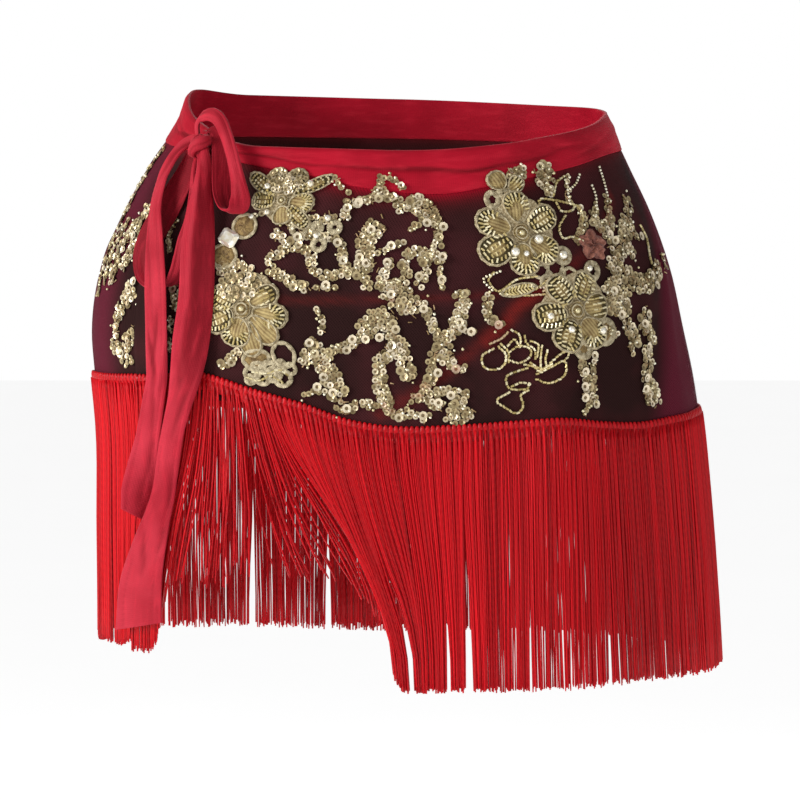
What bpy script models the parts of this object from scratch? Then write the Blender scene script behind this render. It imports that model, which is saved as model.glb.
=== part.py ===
"""Belly dance hip scarf, tied at the left hip and open at waist and hem.

One panel of beaded mesh wraps the hips, with a folded jersey band on its upper edge, the band's own
ends tied in a bow, beaded flowers applied on the mesh, and a cord fringe on a braid along the hem.

The origin is the middle of the waist opening, +Z is up and the front faces -Y. Sizes are in
millimetres and angles in degrees until a mesh is made. An angle runs round the wrap: 180 is the left
hip, 270 the front, 360 the right hip, 450 the back, and past 540 the cloth goes under its own start.
"""

import bpy
import numpy as np

METRE = 0.001  # metres in a millimetre
GAP = 0.4  # between pieces that meet at a seam, square to the cloth
SEAM_GAP = 0.6  # the same, measured down the cloth between the band and the panel
WRAP_START, WRAP_END = 217, 588  # the outer end of the cloth, and the end that lies beneath it
OUTER_END_LIFT, OUTER_LIFT_FROM, OUTER_LIFT_TO = 2.7, 232, 270
END_BENEATH_DIP, DIP_FROM, DIP_TO = 2.2, 556, 577
ROUNDNESS = 2.25  # exponent of the hips' sections: 2 is an ellipse, more is boxier
SLIDE_STEP = 0.5  # degrees over which a distance round the hips is measured

PANEL_WALL = 1.2
PANEL_STEPS_ROUND, PANEL_STEPS_DOWN = 80, 7
HEM_TURNED_UNDER_BRAID = 5.0

BAND_STEPS_ROUND = 70

BRAID_DEEP, BRAID_THICK = 9.0, 2.1
HEM_SAMPLES = 2000  # along the hem, where its length is measured
LOCKS = 212
LOCK_FILL = 0.66  # share of the spacing that a lock fills at its root
LOCK_TIP_FILL, LOCK_TIP_THICK = 0.85, 1.1
LOCK_STATIONS = (0.0, 0.34, 0.7, 1.0)  # of the way down a lock
LOCK_THINS_BY = 0.7  # of the way down, where a lock has its tip's width
LEAN_CURVE = 1.3  # power by which the lean grows late, as under a weight

RIBBON_THICK = 2.2
FABRIC_REPEAT = 180  # the embroidery comes round again on the back
POINTS_PER_PETAL = 4
PETAL_BLUNTNESS, PETAL_NOTCH = 0.6, 0.3


def table(columns, *rows):
    """The rows as one array for each named column."""
    return dict(zip(columns.split(), np.array(rows, float).T))


HIPS = table(
    "level left right front back",
    (16, 116, 115, 88, 81),
    (0, 121, 119, 91, 85),
    (-27, 139, 131, 99, 95),
    (-52, 153, 143, 105, 105),
    (-85, 167, 155, 110, 117),
    (-120, 172.5, 163, 112, 124),
    (-145, 171, 168.5, 113, 126),
    (-170, 169, 172.5, 114, 126),
    (-235, 168.5, 179.5, 115, 125),
    (-312, 168, 185, 116, 124),
)

# The band's two edges, and the top of the braid that covers the panel's lower edge.
WRAP = table(
    "angle band_top band_bottom braid_top",
    (180, 13, -13, -145),
    (207, -3, -18, -143),
    (225, -12, -22.5, -141),
    (236, -16.5, -26, -139.5),
    (246, -17.5, -30, -147),
    (256, -18.2, -34.2, -155),
    (263, -18.7, -38.5, -163),
    (270, -19.2, -41.7, -167),
    (278, -18.9, -42.6, -166.5),
    (290, -16.8, -38.2, -164.4),
    (298, -15, -34.8, -163.4),
    (308, -12, -30.8, -166.3),
    (318, -9.5, -27, -167.8),
    (330, -6, -22.5, -165.8),
    (350, 0.5, -19.2, -164.2),
    (370, 4, -17, -165),
    (405, 7, -15, -168.5),
    (450, 11, -12, -170),
    (495, 13, -11, -163),
    (540, 13, -13, -145),
    (567, -3, -18, -143),
    (585, -12, -22.5, -141),
    (596, -16.5, -26, -139.5),
)

# Soft vertical flutes that the hanging cloth takes, deepest at the hem.
FLUTES = table(
    "angle spread depth",
    (252, 6, 1.6),
    (272, 7, -1.2),
    (297, 7, 3.0),
    (315, 7, -1.6),
    (335, 7, 1.8),
    (384, 9, 2.4),
    (405, 8, -1.8),
    (428, 9, 2.6),
    (452, 9, -2.0),
    (478, 9, 2.4),
    (503, 8, -1.6),
    (528, 8, 2.0),
)
FLUTE_START, FLUTE_FULL = -60, -165

# How the fringe falls: how far a lock's tip is carried round the hips, its level and its fullness.
FALL = table(
    "angle lean tip full",
    (217, -7, -294, 1),
    (228, -13, -286, 0.9),
    (236, -18, -252, 0.55),
    (239, -12, -254, 0.45),
    (242.5, 2, -250, 0.4),
    (247.5, 11, -250, 0.4),
    (251.5, 13, -250, 0.45),
    (255.5, 18, -256, 0.5),
    (259, 24, -270, 0.6),
    (263, 27, -303, 0.6),
    (267, 22, -309, 0.6),
    (271, 15, -309, 0.7),
    (277, 8, -309, 0.9),
    (284, 3, -308, 1),
    (294, 0, -309, 1),
    (320, 0, -308, 1),
    (360, 0, -308, 1),
    (405, 0, -310, 1),
    (450, 0, -311, 1),
    (495, 0, -304, 1),
    (540, 0, -295, 1),
    (588, 0, -292, 1),
)

# The band's section, a strip of jersey folded in two soft plies, as share of its depth and mm out.
BAND_SECTION = table(
    "down out",
    (0.0, 0.3),
    (0.07, 1.4),
    (0.3, 1.9),
    (0.47, 1.4),
    (0.53, 0.8),
    (0.6, 1.4),
    (0.86, 1.5),
    (1.0, 0.5),
    (1.0, -0.7),
    (0.0, -0.7),
)

# Each stretch of the tie: where its middle line runs, how wide the ribbon is there, how far it turns
# from lying flat on the hips, and how far its middle stands proud of its edges.
TAIL_LEFT = table(
    "across level out width turn cup",
    (-107.5, -12, 13, 8, 6, 1.2),
    (-114, -22, 14.4, 9.5, 8, 1.4),
    (-118.5, -35, 14.6, 9.5, 6, 1.2),
    (-121.5, -50, 14.4, 11, 4, 1),
    (-122.5, -68, 14, 14.5, 2, 0.8),
    (-123, -90, 12.8, 16, 0, 0.6),
    (-124, -115, 10.6, 16, 0, 0.5),
    (-124, -134, 10, 14, -6, 1.4),
    (-124, -143, 10.2, 12, -14, 2),
    (-125.5, -155, 10.5, 13, -4, 1),
    (-129, -176, 9.5, 16, 6, 0.6),
    (-131.5, -196, 9, 16, 10, 0.6),
    (-134.5, -208, 9, 15, 12, 0.6),
    (-137.5, -217, 9, 8, 12, 0.3),
)
TAIL_RIGHT = table(
    "across level out width turn cup",
    (-99.2, -29, 12, 8, 8, 1.6),
    (-99, -40, 13.5, 9.5, 8, 1.6),
    (-100.5, -56, 13.5, 12, 6, 1.2),
    (-101.5, -76, 12.5, 14, 4, 0.9),
    (-103, -97, 11, 16, 0, 0.6),
    (-106, -121, 10, 18, 0, 0.5),
    (-108.5, -138, 9.5, 18, -4, 1),
    (-111.5, -153, 10, 17, -8, 1.6),
    (-115, -168, 10, 15, -6, 1.2),
    (-118, -184, 9.5, 14, -2, 1),
    (-121, -204, 9, 14, 0, 1),
    (-125, -220, 9, 17, 4, 1),
    (-130, -240, 9, 26, 4, 1),
    (-133.5, -260, 9, 35, 2, 1),
    (-134.5, -280, 9, 37, 0, 0.8),
)
LOOP_LEFT = table(
    "across level out width turn cup",
    (-104.5, -30, 9, 6, -50, 0.5),
    (-105.5, -42, 9, 9, -54, 0.6),
    (-107, -56, 8.6, 10, -50, 0.7),
    (-109.5, -70, 8.4, 11, -48, 0.7),
    (-114, -83, 8.2, 9.5, -60, 0.6),
    (-121, -90, 7.6, 8, -97, 0.5),
    (-128.5, -86.5, 7.2, 8, -130, 0.5),
    (-133, -76, 7.2, 9, -150, 0.5),
    (-132.5, -62, 7.4, 11, -156, 0.6),
    (-127.5, -48, 7.6, 12.5, -156, 0.6),
    (-121, -37, 7.8, 11, -154, 0.6),
    (-115, -29, 8.2, 8, -150, 0.5),
    (-109.5, -24.5, 9, 5, -140, 0.4),
)
LOOP_RIGHT = table(
    "across level out width turn cup",
    (-101, -8.5, 12, 8, -118, 0.6),
    (-99.5, -2.5, 12.5, 9, -112, 0.7),
    (-94.5, 1.5, 13, 10, -100, 0.7),
    (-87.5, -0.5, 13, 11, -85, 0.7),
    (-83, -8, 13, 12, -68, 0.7),
    (-80.5, -19, 13, 12.5, -60, 0.8),
    (-79, -31, 13, 12.5, -58, 0.8),
    (-79, -41.5, 13, 12, -62, 0.8),
    (-82, -49, 12.6, 11.5, -80, 0.7),
    (-87, -47.5, 12.2, 11, -105, 0.7),
    (-90, -38.5, 12, 11, -120, 0.7),
    (-91.3, -28, 12, 10, -124, 0.6),
    (-91.8, -19.5, 12, 7, -124, 0.5),
)
RIBBON_SECTION = table(
    "across thick",
    (-0.5, -0.5),
    (-0.2, -1.0),
    (0.2, -1.0),
    (0.5, -0.5),
    (0.5, 0.5),
    (0.2, 1.0),
    (-0.2, 1.0),
    (-0.5, 0.5),
)

KNOT_MIDDLE = {"across": -99.5, "level": -18.5, "out": 12.6}
KNOT_HALF = {"across": 6.0, "level": 8.6, "out": 6.0}
KNOT_WRAP = {"lean": 38, "rise": 0.2, "spread": 0.34}
KNOT_STEPS_DOWN, KNOT_STEPS_ROUND = 8, 14

# The applied flowers of one repeat: centre, reach of the petals, how many, and how far they are turned.
FLOWERS = table(
    "angle level reach petals turn",
    (249, -46, 15.5, 5, 54),
    (244.3, -104, 24, 6, 0),
    (294.3, -62, 23.8, 6, 20),
    (305.2, -105, 25.5, 6, 5),
)
FLOWER_NAMES = {
    "flower_front_left_top": "flower_back_right_top",
    "flower_front_left": "flower_back_right",
    "flower_front_centre": "flower_back_centre",
    "flower_front_right": "flower_back_left",
}
FLOWER_RELIEF = table(
    "reach petal_top petal_valley",
    (0.0, 3.0, 3.0),
    (0.3, 1.9, 1.5),
    (0.62, 2.5, 1.5),
    (0.9, 3.1, 2.2),
    (1.0, 1.2, 1.0),
)

# Each finish: its colour, roughness and metallic value.
FINISHES = {
    "mesh": ((0.028, 0.010, 0.012), 0.75, 0.0),
    "jersey": ((0.50, 0.012, 0.030), 0.45, 0.0),
    "cord": ((0.55, 0.012, 0.018), 0.4, 0.0),
    "beads": ((0.50, 0.42, 0.24), 0.3, 0.8),
}


def read(rows, key, name, at):
    """The column at these keys, on a smooth cubic through its rows with slopes from their neighbours."""
    order = np.argsort(rows[key])
    keys, values = rows[key][order], rows[name][order]
    slopes = np.gradient(values, keys)
    at = np.clip(at, keys[0], keys[-1])
    row = np.clip(np.searchsorted(keys, at) - 1, 0, len(keys) - 2)
    gap = keys[row + 1] - keys[row]
    t = (at - keys[row]) / gap
    return (
        (1 + 2 * t) * (1 - t) ** 2 * values[row]
        + t * (1 - t) ** 2 * gap * slopes[row]
        + t**2 * (3 - 2 * t) * values[row + 1]
        + t**2 * (t - 1) * gap * slopes[row + 1]
    )


def ease(value, start, end):
    """0 before start, 1 after end, and a smooth step between."""
    t = np.clip((np.asarray(value, float) - start) / (end - start), 0, 1)
    return t * t * (3 - 2 * t)


def hip_points(angle, level, out):
    """Points on the hips' sections: |x/a|^n + |y/b|^n = 1 with each side's own half-width and depth,
    moved out along the section's normal."""
    angle, level, out = np.broadcast_arrays(
        *(np.asarray(value, float) for value in (angle, level, out))
    )
    cosine, sine = np.cos(np.radians(angle)), np.sin(np.radians(angle))
    wide = np.where(
        cosine < 0,
        read(HIPS, "level", "left", level),
        read(HIPS, "level", "right", level),
    )
    deep = np.where(
        sine < 0,
        read(HIPS, "level", "front", level),
        read(HIPS, "level", "back", level),
    )
    x = np.sign(cosine) * np.abs(cosine) ** (2 / ROUNDNESS)
    y = np.sign(sine) * np.abs(sine) ** (2 / ROUNDNESS)
    across = np.sign(x) * np.abs(x) ** (ROUNDNESS - 1) / wide
    ahead = np.sign(y) * np.abs(y) ** (ROUNDNESS - 1) / deep
    length = np.hypot(across, ahead)
    return np.stack(
        [wide * x + out * across / length, deep * y + out * ahead / length, level], -1
    )


def lift(angle):
    """The wrap's outer end stands off the hips, and the end beneath it dips in."""
    outer = OUTER_END_LIFT * (1 - ease(angle, OUTER_LIFT_FROM, OUTER_LIFT_TO))
    beneath = END_BENEATH_DIP * ease(angle, DIP_FROM, DIP_TO)
    return outer - beneath


def flute(angle, level):
    """The hanging folds: bell-shaped ridges and troughs round the wrap that grow down to the hem."""
    angle = np.asarray(angle, float)[..., None]
    bells = FLUTES["depth"] * np.exp(-(((angle - FLUTES["angle"]) / FLUTES["spread"]) ** 2))
    return bells.sum(-1) * ease(-np.asarray(level, float), -FLUTE_START, -FLUTE_FULL)


def cloth_points(angle, level, out):
    """Points of the worn cloth, moved out from its middle surface."""
    return hip_points(angle, level, lift(angle) + flute(angle, level) + out)


def finish(name):
    """The Principled material of this name."""
    material = bpy.data.materials.get(name)
    if material is None:
        colour, roughness, metallic = FINISHES[name]
        material = bpy.data.materials.new(name)
        material.use_nodes = True
        shader = material.node_tree.nodes["Principled BSDF"]
        shader.inputs["Base Color"].default_value = (*colour, 1)
        shader.inputs["Roughness"].default_value = roughness
        shader.inputs["Metallic"].default_value = metallic
    return material


def add_piece(name, points, faces, finish_name):
    """One named object from points in millimetres and its faces."""
    mesh = bpy.data.meshes.new(name)
    mesh.from_pydata((np.asarray(points) * METRE).tolist(), [], faces)
    mesh.materials.append(finish(finish_name))
    mesh.shade_smooth()
    piece = bpy.data.objects.new(name, mesh)
    bpy.context.scene.collection.objects.link(piece)
    return piece


def skin_faces(first, rows, columns, ring):
    """Quads over a grid of points numbered row by row; ring joins the last column to the first."""
    faces = []
    for row in range(rows - 1):
        for column in range(columns if ring else columns - 1):
            beside = (column + 1) % columns
            faces.append(
                (
                    first + row * columns + column,
                    first + row * columns + beside,
                    first + (row + 1) * columns + beside,
                    first + (row + 1) * columns + column,
                )
            )
    return faces


def add_loft(name, sections, finish_name):
    """A solid through closed sections, an array of sections by points by 3, with flat ends."""
    count, around = sections.shape[:2]
    faces = skin_faces(0, count, around, True)
    faces.append(tuple(range(around))[::-1])
    faces.append(tuple(range((count - 1) * around, count * around)))
    return add_piece(name, sections.reshape(-1, 3), faces, finish_name)


def add_waistband():
    """The folded band: its section carried round the wrap between the band's two edges."""
    angle = np.linspace(WRAP_START, WRAP_END, BAND_STEPS_ROUND + 1)[:, None]
    top = read(WRAP, "angle", "band_top", angle)
    bottom = read(WRAP, "angle", "band_bottom", angle)
    level = top + (bottom - top) * BAND_SECTION["down"]
    sections = cloth_points(angle, level, BAND_SECTION["out"])
    add_loft("waistband", sections, "jersey")


def add_mesh_panel():
    """The panel's wall: for each step round, outer points down to the hem and inner points back up."""
    angle = np.linspace(WRAP_START, WRAP_END, PANEL_STEPS_ROUND + 1)[:, None]
    top = read(WRAP, "angle", "band_bottom", angle) - SEAM_GAP
    bottom = read(WRAP, "angle", "braid_top", angle) - HEM_TURNED_UNDER_BRAID
    down = np.linspace(0, 1, PANEL_STEPS_DOWN + 1)
    down, side = np.concatenate([down, down[::-1]]), np.repeat([0.5, -0.5], len(down))
    level = top + (bottom - top) * down
    add_loft("mesh_panel", cloth_points(angle, level, side * PANEL_WALL), "mesh")


def even_angles(count, start, end):
    """Angles that part the hem into equal lengths of cloth."""
    angle = np.linspace(start, end, HEM_SAMPLES)
    hem = cloth_points(angle, read(WRAP, "angle", "braid_top", angle), 0)
    run = np.concatenate([[0], np.cumsum(np.linalg.norm(np.diff(hem, axis=0), axis=1))])
    return np.interp(np.linspace(0, run[-1], count), run, angle), run[-1]


def lock_sections(angle, half_width):
    """Each lock's four-sided sections, an array of locks by stations by 4 corners by 3."""
    root = read(WRAP, "angle", "braid_top", angle) - BRAID_DEEP
    tip = read(FALL, "angle", "tip", angle)
    full = read(FALL, "angle", "full", angle)
    down = np.array(LOCK_STATIONS)
    level = root[:, None] + (tip - root)[:, None] * down
    lean = read(FALL, "angle", "lean", angle)[:, None] * np.sin(np.pi / 2 * down) ** LEAN_CURVE
    thin = 1 - (1 - LOCK_TIP_FILL * full[:, None]) * ease(down, 0, LOCK_THINS_BY)
    thick = BRAID_THICK + (LOCK_TIP_THICK - BRAID_THICK) * ease(down, 0, 1)
    sections = []
    for side, out in ((-1, 0), (1, 0), (1, 1), (-1, 1)):
        across = lean + side * half_width[:, None] * thin
        out = PANEL_WALL / 2 + GAP + (BRAID_THICK - thick) / 2 + out * thick
        sections.append(slid_points(angle[:, None], level, out, across))
    return np.stack(sections, 2)


def slid_points(angle, level, out, across):
    """Points of the cloth, carried this far round the hips at their own level."""
    here = hip_points(angle, level, 0)
    beside = hip_points(angle + SLIDE_STEP, level, 0)
    degrees = across * SLIDE_STEP / np.linalg.norm(beside - here, axis=-1)
    return cloth_points(angle + degrees, level, out)


def add_fringe_trim():
    """The braid along the hem with its locks drawn down from it, as one body. The braid has a step for
    each lock and each space, and a lock goes on from its own step's lower face."""
    edges, length = even_angles(2 * LOCKS + 2, WRAP_START, WRAP_END)
    shift = (LOCK_FILL - 0.5) * length / LOCKS
    middle = (edges[1:-1:2] + edges[2::2]) / 2
    half_width = np.full(LOCKS, length / (2 * LOCKS + 1) / 2 + shift / 2)
    locks = lock_sections(middle, half_width)

    starts = np.stack([edges[1:-1:2], edges[2::2]], 1)
    level = read(WRAP, "angle", "braid_top", starts) - BRAID_DEEP
    inner = PANEL_WALL / 2 + GAP
    side = np.array([-1, 1]) * shift / 2
    rims = [
        slid_points(starts, level + drop, out, side[None, :])
        for drop, out in (
            (0, inner),
            (BRAID_DEEP, inner),
            (BRAID_DEEP, inner + BRAID_THICK),
            (0, inner + BRAID_THICK),
        )
    ]
    rims = np.stack(rims, 2).reshape(-1, 4, 3)
    ends = cloth_points(
        np.array([[WRAP_START], [WRAP_END]]),
        read(WRAP, "angle", "braid_top", np.array([[WRAP_START], [WRAP_END]]))
        - np.array([BRAID_DEEP, 0, 0, BRAID_DEEP]),
        inner + np.array([0, 0, BRAID_THICK, BRAID_THICK]),
    )
    rims = np.concatenate([ends[:1], rims, ends[1:]])
    faces = [(0, 1, 2, 3), tuple(4 * (len(rims) - 1) + corner for corner in (3, 2, 1, 0))]
    points = [rims.reshape(-1, 3)]
    made = 4 * len(rims)
    for step in range(len(rims) - 1):
        here, beside = 4 * step, 4 * step + 4
        for corner, after in ((0, 1), (1, 2), (2, 3)):
            faces.append((here + corner, beside + corner, beside + after, here + after))
        under = (here + 3, beside + 3, beside, here)
        if step % 2 == 0:
            faces.append(under)
            continue
        ring = (here, beside, beside + 3, here + 3)
        lower = locks[step // 2][1:].reshape(-1, 3)
        points.append(lower)
        for _ in range(len(LOCK_STATIONS) - 1):
            below = tuple(range(made, made + 4))
            for corner in range(4):
                after = (corner + 1) % 4
                faces.append((ring[corner], below[corner], below[after], ring[after]))
            ring = below
            made += 4
        faces.append(ring[::-1])
    add_piece("fringe_trim", np.concatenate(points), [face[::-1] for face in faces], "cord")


def front_angle(across, level):
    """The angle at which the front of the hips' section reaches this far across."""
    wide = np.where(
        across < 0,
        read(HIPS, "level", "left", level),
        read(HIPS, "level", "right", level),
    )
    cosine = np.sign(across) * np.abs(across / wide) ** (ROUNDNESS / 2)
    return 360 - np.degrees(np.arccos(cosine))


def tie_points(across, level, out):
    """Points off the hips' front, and the way out of the hips there."""
    angle = front_angle(across, level)
    points = hip_points(angle, level, out)
    return points, points - hip_points(angle, level, out - 1)


def unit(vectors):
    """The vectors at length 1."""
    return vectors / np.linalg.norm(vectors, axis=-1, keepdims=True)


def add_ribbon(name, rows, steps):
    """A stretch of the tie: the ribbon's section carried along a smooth curve through the rows, turned
    about that curve from lying flat on the hips."""
    row = np.arange(len(rows["across"]), dtype=float)
    places = {"row": row, **rows}
    at = np.linspace(0, row[-1], steps + 1)
    across, level, out, width, turn, cup = (
        read(places, "row", name, at)
        for name in ("across", "level", "out", "width", "turn", "cup")
    )
    middle, outward = tie_points(across, level, out)
    along = unit(np.gradient(middle, axis=0))
    sideways = unit(np.cross(outward, along))
    outward = np.cross(along, sideways)
    turn = np.radians(turn)[:, None]
    sideways, outward = (
        sideways * np.cos(turn) + outward * np.sin(turn),
        outward * np.cos(turn) - sideways * np.sin(turn),
    )
    u = RIBBON_SECTION["across"]
    bow = cup[:, None] * (1 - 4 * u**2) + RIBBON_SECTION["thick"] * RIBBON_THICK / 2
    sections = (
        middle[:, None]
        + sideways[:, None] * (width[:, None] * u)[..., None]
        + outward[:, None] * bow[..., None]
    )
    add_loft(name, sections, "jersey")


def add_knot():
    """The knot: an egg, with the ribbon's last turn as a raised band that leans across it."""
    down = np.radians(np.linspace(0, 180, KNOT_STEPS_DOWN + 1)[1:-1])[:, None]
    around = np.radians(np.arange(KNOT_STEPS_ROUND) * 360 / KNOT_STEPS_ROUND)
    x = np.sin(down) * np.cos(around)
    y = np.sin(down) * np.sin(around)
    z = np.cos(down) + 0 * around
    lean = np.radians(KNOT_WRAP["lean"])
    off_wrap = (z * np.cos(lean) - x * np.sin(lean)) / KNOT_WRAP["spread"]
    swell = 1 + KNOT_WRAP["rise"] * np.exp(-(off_wrap**2))
    middle, outward = tie_points(KNOT_MIDDLE["across"], KNOT_MIDDLE["level"], KNOT_MIDDLE["out"])
    ahead = unit(outward)
    sideways = unit(np.cross(ahead, (0, 0, 1)))
    upward = np.cross(sideways, ahead)
    balls = (
        middle
        - (swell * x * KNOT_HALF["across"])[..., None] * sideways
        + (swell * y * KNOT_HALF["out"])[..., None] * ahead
        + (swell * z * KNOT_HALF["level"])[..., None] * upward
    )
    poles = [middle + sign * KNOT_HALF["level"] * upward for sign in (1, -1)]
    points = np.concatenate([balls.reshape(-1, 3), poles])
    rings, columns = balls.shape[:2]
    faces = skin_faces(0, rings, columns, True)
    last = (rings - 1) * columns
    for column in range(columns):
        beside = (column + 1) % columns
        faces.append((rings * columns, beside, column))
        faces.append((rings * columns + 1, last + column, last + beside))
    add_piece("tie_knot", points, faces, "jersey")


def petal_points(flower, reach, height):
    """One ring of a flower, on the panel's own surface: its radius follows |cos(petals x angle / 2)|, to
    a power below 1 so that the petals are blunt, and is notched more the further out the ring lies."""
    count = int(flower["petals"]) * POINTS_PER_PETAL
    around = np.arange(count) * 2 * np.pi / count
    petal = np.abs(np.cos(flower["petals"] * around / 2)) ** PETAL_BLUNTNESS
    radius = flower["reach"] * reach * (1 - PETAL_NOTCH * (1 - petal) * reach)
    around = around + np.radians(flower["turn"])
    level = flower["level"] + radius * np.sin(around)
    out = PANEL_WALL / 2 + GAP + height[0] * petal + height[1] * (1 - petal)
    return slid_points(flower["angle"], level, out, radius * np.cos(around))


def add_flower(name, flower):
    """An applied flower: rings of petal points over a plain underside that follows the panel."""
    relief = zip(*(FLOWER_RELIEF[column] for column in ("reach", "petal_top", "petal_valley")))
    rings, flat = [], []
    for reach, top, valley in relief:
        rings.append(petal_points(flower, reach, (top, valley)))
        flat.append(petal_points(flower, reach, (0, 0)))
    columns = rings[0].shape[0]
    middles = [rings[0][0], flat[0][0]]
    grid = np.concatenate([*rings[1:], *flat[:0:-1]])
    rows = 2 * (len(rings) - 1)
    faces = skin_faces(0, rows, columns, True)
    last = (rows - 1) * columns
    for column in range(columns):
        beside = (column + 1) % columns
        faces.append((rows * columns, beside, column))
        faces.append((rows * columns + 1, last + column, last + beside))
    add_piece(name, np.concatenate([grid, middles]), [face[::-1] for face in faces], "beads")


def main():
    for old in list(bpy.data.objects):
        bpy.data.objects.remove(old, do_unlink=True)
    add_waistband()
    add_mesh_panel()
    add_fringe_trim()
    add_ribbon("tie_tail_left", TAIL_LEFT, 26)
    add_ribbon("tie_tail_right", TAIL_RIGHT, 28)
    add_ribbon("tie_loop_left", LOOP_LEFT, 26)
    add_ribbon("tie_loop_right", LOOP_RIGHT, 26)
    add_knot()
    for row, (front, back) in enumerate(FLOWER_NAMES.items()):
        flower = {column: values[row] for column, values in FLOWERS.items()}
        add_flower(front, flower)
        add_flower(back, {**flower, "angle": flower["angle"] + FABRIC_REPEAT})


main()
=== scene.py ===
"""The finished look of the belly dance hip scarf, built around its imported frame.

Sizes are in millimetres and angles in degrees until a mesh is made. An angle runs round the wrap:
180 is the left hip, 270 the front, 360 the right hip, 450 the back, and past 540 the cloth goes
under its own start. A level is a height from the waist's middle, and "out" is square to the hips.
"""

import bpy
import numpy as np
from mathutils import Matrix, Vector


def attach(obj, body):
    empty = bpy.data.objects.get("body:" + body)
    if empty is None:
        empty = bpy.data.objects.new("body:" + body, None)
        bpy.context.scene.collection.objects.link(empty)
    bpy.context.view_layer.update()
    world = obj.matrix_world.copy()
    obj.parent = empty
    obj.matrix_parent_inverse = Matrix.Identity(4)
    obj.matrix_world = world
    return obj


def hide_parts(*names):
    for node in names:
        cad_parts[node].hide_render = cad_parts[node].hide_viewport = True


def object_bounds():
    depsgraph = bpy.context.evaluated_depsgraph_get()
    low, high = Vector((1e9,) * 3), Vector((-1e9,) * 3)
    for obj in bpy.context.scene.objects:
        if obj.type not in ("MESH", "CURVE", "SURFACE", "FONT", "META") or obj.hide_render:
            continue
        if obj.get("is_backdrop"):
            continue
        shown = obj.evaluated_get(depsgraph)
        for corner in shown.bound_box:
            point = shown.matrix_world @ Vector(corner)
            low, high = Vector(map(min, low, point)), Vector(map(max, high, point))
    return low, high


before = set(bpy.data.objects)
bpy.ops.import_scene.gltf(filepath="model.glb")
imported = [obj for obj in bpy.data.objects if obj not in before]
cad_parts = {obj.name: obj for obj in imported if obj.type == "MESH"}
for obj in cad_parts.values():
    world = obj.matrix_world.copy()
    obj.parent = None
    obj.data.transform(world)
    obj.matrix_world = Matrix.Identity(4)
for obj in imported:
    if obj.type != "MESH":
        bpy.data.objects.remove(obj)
cad_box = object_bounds()

METRE = 0.001  # metres in a millimetre
SEED = 11

# -------- the worn cloth's form

WRAP_START, WRAP_END = 217, 588  # the outer end of the cloth, and the end that lies beneath it
OUTER_END_LIFT, OUTER_LIFT_FROM, OUTER_LIFT_TO = 2.7, 232, 270
END_BENEATH_DIP, DIP_FROM, DIP_TO = 2.2, 556, 577
ROUNDNESS = 2.25  # exponent of the hips' sections: 2 is an ellipse, more is boxier
SLIDE_STEP = 0.5  # degrees over which a distance round the hips is measured
FABRIC_REPEAT = 180  # the embroidery comes round again on the back


def table(text):
    """A plain table as one array for each column. Its first row names them."""
    names, *rows = text.split("\n")[1:-1]
    return dict(zip(names.split(), np.array([row.split() for row in rows], float).T))


def sewn_places(text):
    """Angles and levels as rows of an array. Commas part one place from the next."""
    return np.array([place.split() for place in text.split(",")], float)


def sewn_lines(text):
    """Lines on the cloth, a row for each: its own numbers and a colon, if it has any, then its places."""
    rows = [row.rpartition(":") for row in text.split("\n")[1:-1]]
    return [(*map(float, own.split()), sewn_places(line)) for own, _, line in rows]


HIPS = table("""
level left right front back
16 116 115 88 81
0 121 119 91 85
-27 139 131 99 95
-52 153 143 105 105
-85 167 155 110 117
-120 172.5 163 112 124
-145 171 168.5 113 126
-170 169 172.5 114 126
-235 168.5 179.5 115 125
-312 168 185 116 124
""")

# The band's two edges, and the top of the braid that covers the panel's lower edge.
WRAP = table("""
angle band_top band_bottom braid_top
180 13 -13 -145
207 -3 -18 -143
225 -12 -22.5 -141
236 -16.5 -26 -139.5
246 -17.5 -30 -147
256 -18.2 -34.2 -155
263 -18.7 -38.5 -163
270 -19.2 -41.7 -167
278 -18.9 -42.6 -166.5
290 -16.8 -38.2 -164.4
298 -15 -34.8 -163.4
308 -12 -30.8 -166.3
318 -9.5 -27 -167.8
330 -6 -22.5 -165.8
350 0.5 -19.2 -164.2
370 4 -17 -165
405 7 -15 -168.5
450 11 -12 -170
495 13 -11 -163
540 13 -13 -145
567 -3 -18 -143
585 -12 -22.5 -141
596 -16.5 -26 -139.5
""")

# Soft vertical flutes that the hanging cloth takes, deepest at the hem.
FLUTES = table("""
angle spread depth
252 6 1.6
272 7 -1.2
297 7 3
315 7 -1.6
335 7 1.8
384 9 2.4
405 8 -1.8
428 9 2.6
452 9 -2
478 9 2.4
503 8 -1.6
528 8 2
""")
FLUTE_START, FLUTE_FULL = -60, -165

# Drag lines in the hanging net, soft ridges and troughs: degrees round the wrap and mm down from the
# waist at both ends of each, then its depth and its spread in mm.
DRAG_LINES = table("""
angle down angle_to down_to depth spread
224 60 262 92 0.9 7
227 46 268 64 -0.7 6
238 98 286 101 0.7 4
244 106 284 108 -0.7 5
268 160 318 68 0.9 6
274 160 322 78 -0.7 5
306 112 332 50 0.8 7
318 150 338 60 1.1 7
324 152 342 74 -0.9 6
336 140 348 40 0.9 6
366 60 402 96 0.9 8
374 82 416 104 -0.8 7
402 150 442 80 0.9 7
418 60 458 72 0.8 6
430 130 476 118 -0.8 7
464 60 496 110 0.9 7
484 140 514 60 -0.8 6
518 50 548 80 0.8 7
""")
CALM_BELOW_BAND, CALM_ABOVE_BRAID = 12, 14  # mm in which they die away
CREASE_END = 0.25  # a crease's depth at its ends, as a share of that at its middle
MM_PER_DEGREE = 2.7  # round the hips, near enough


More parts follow.
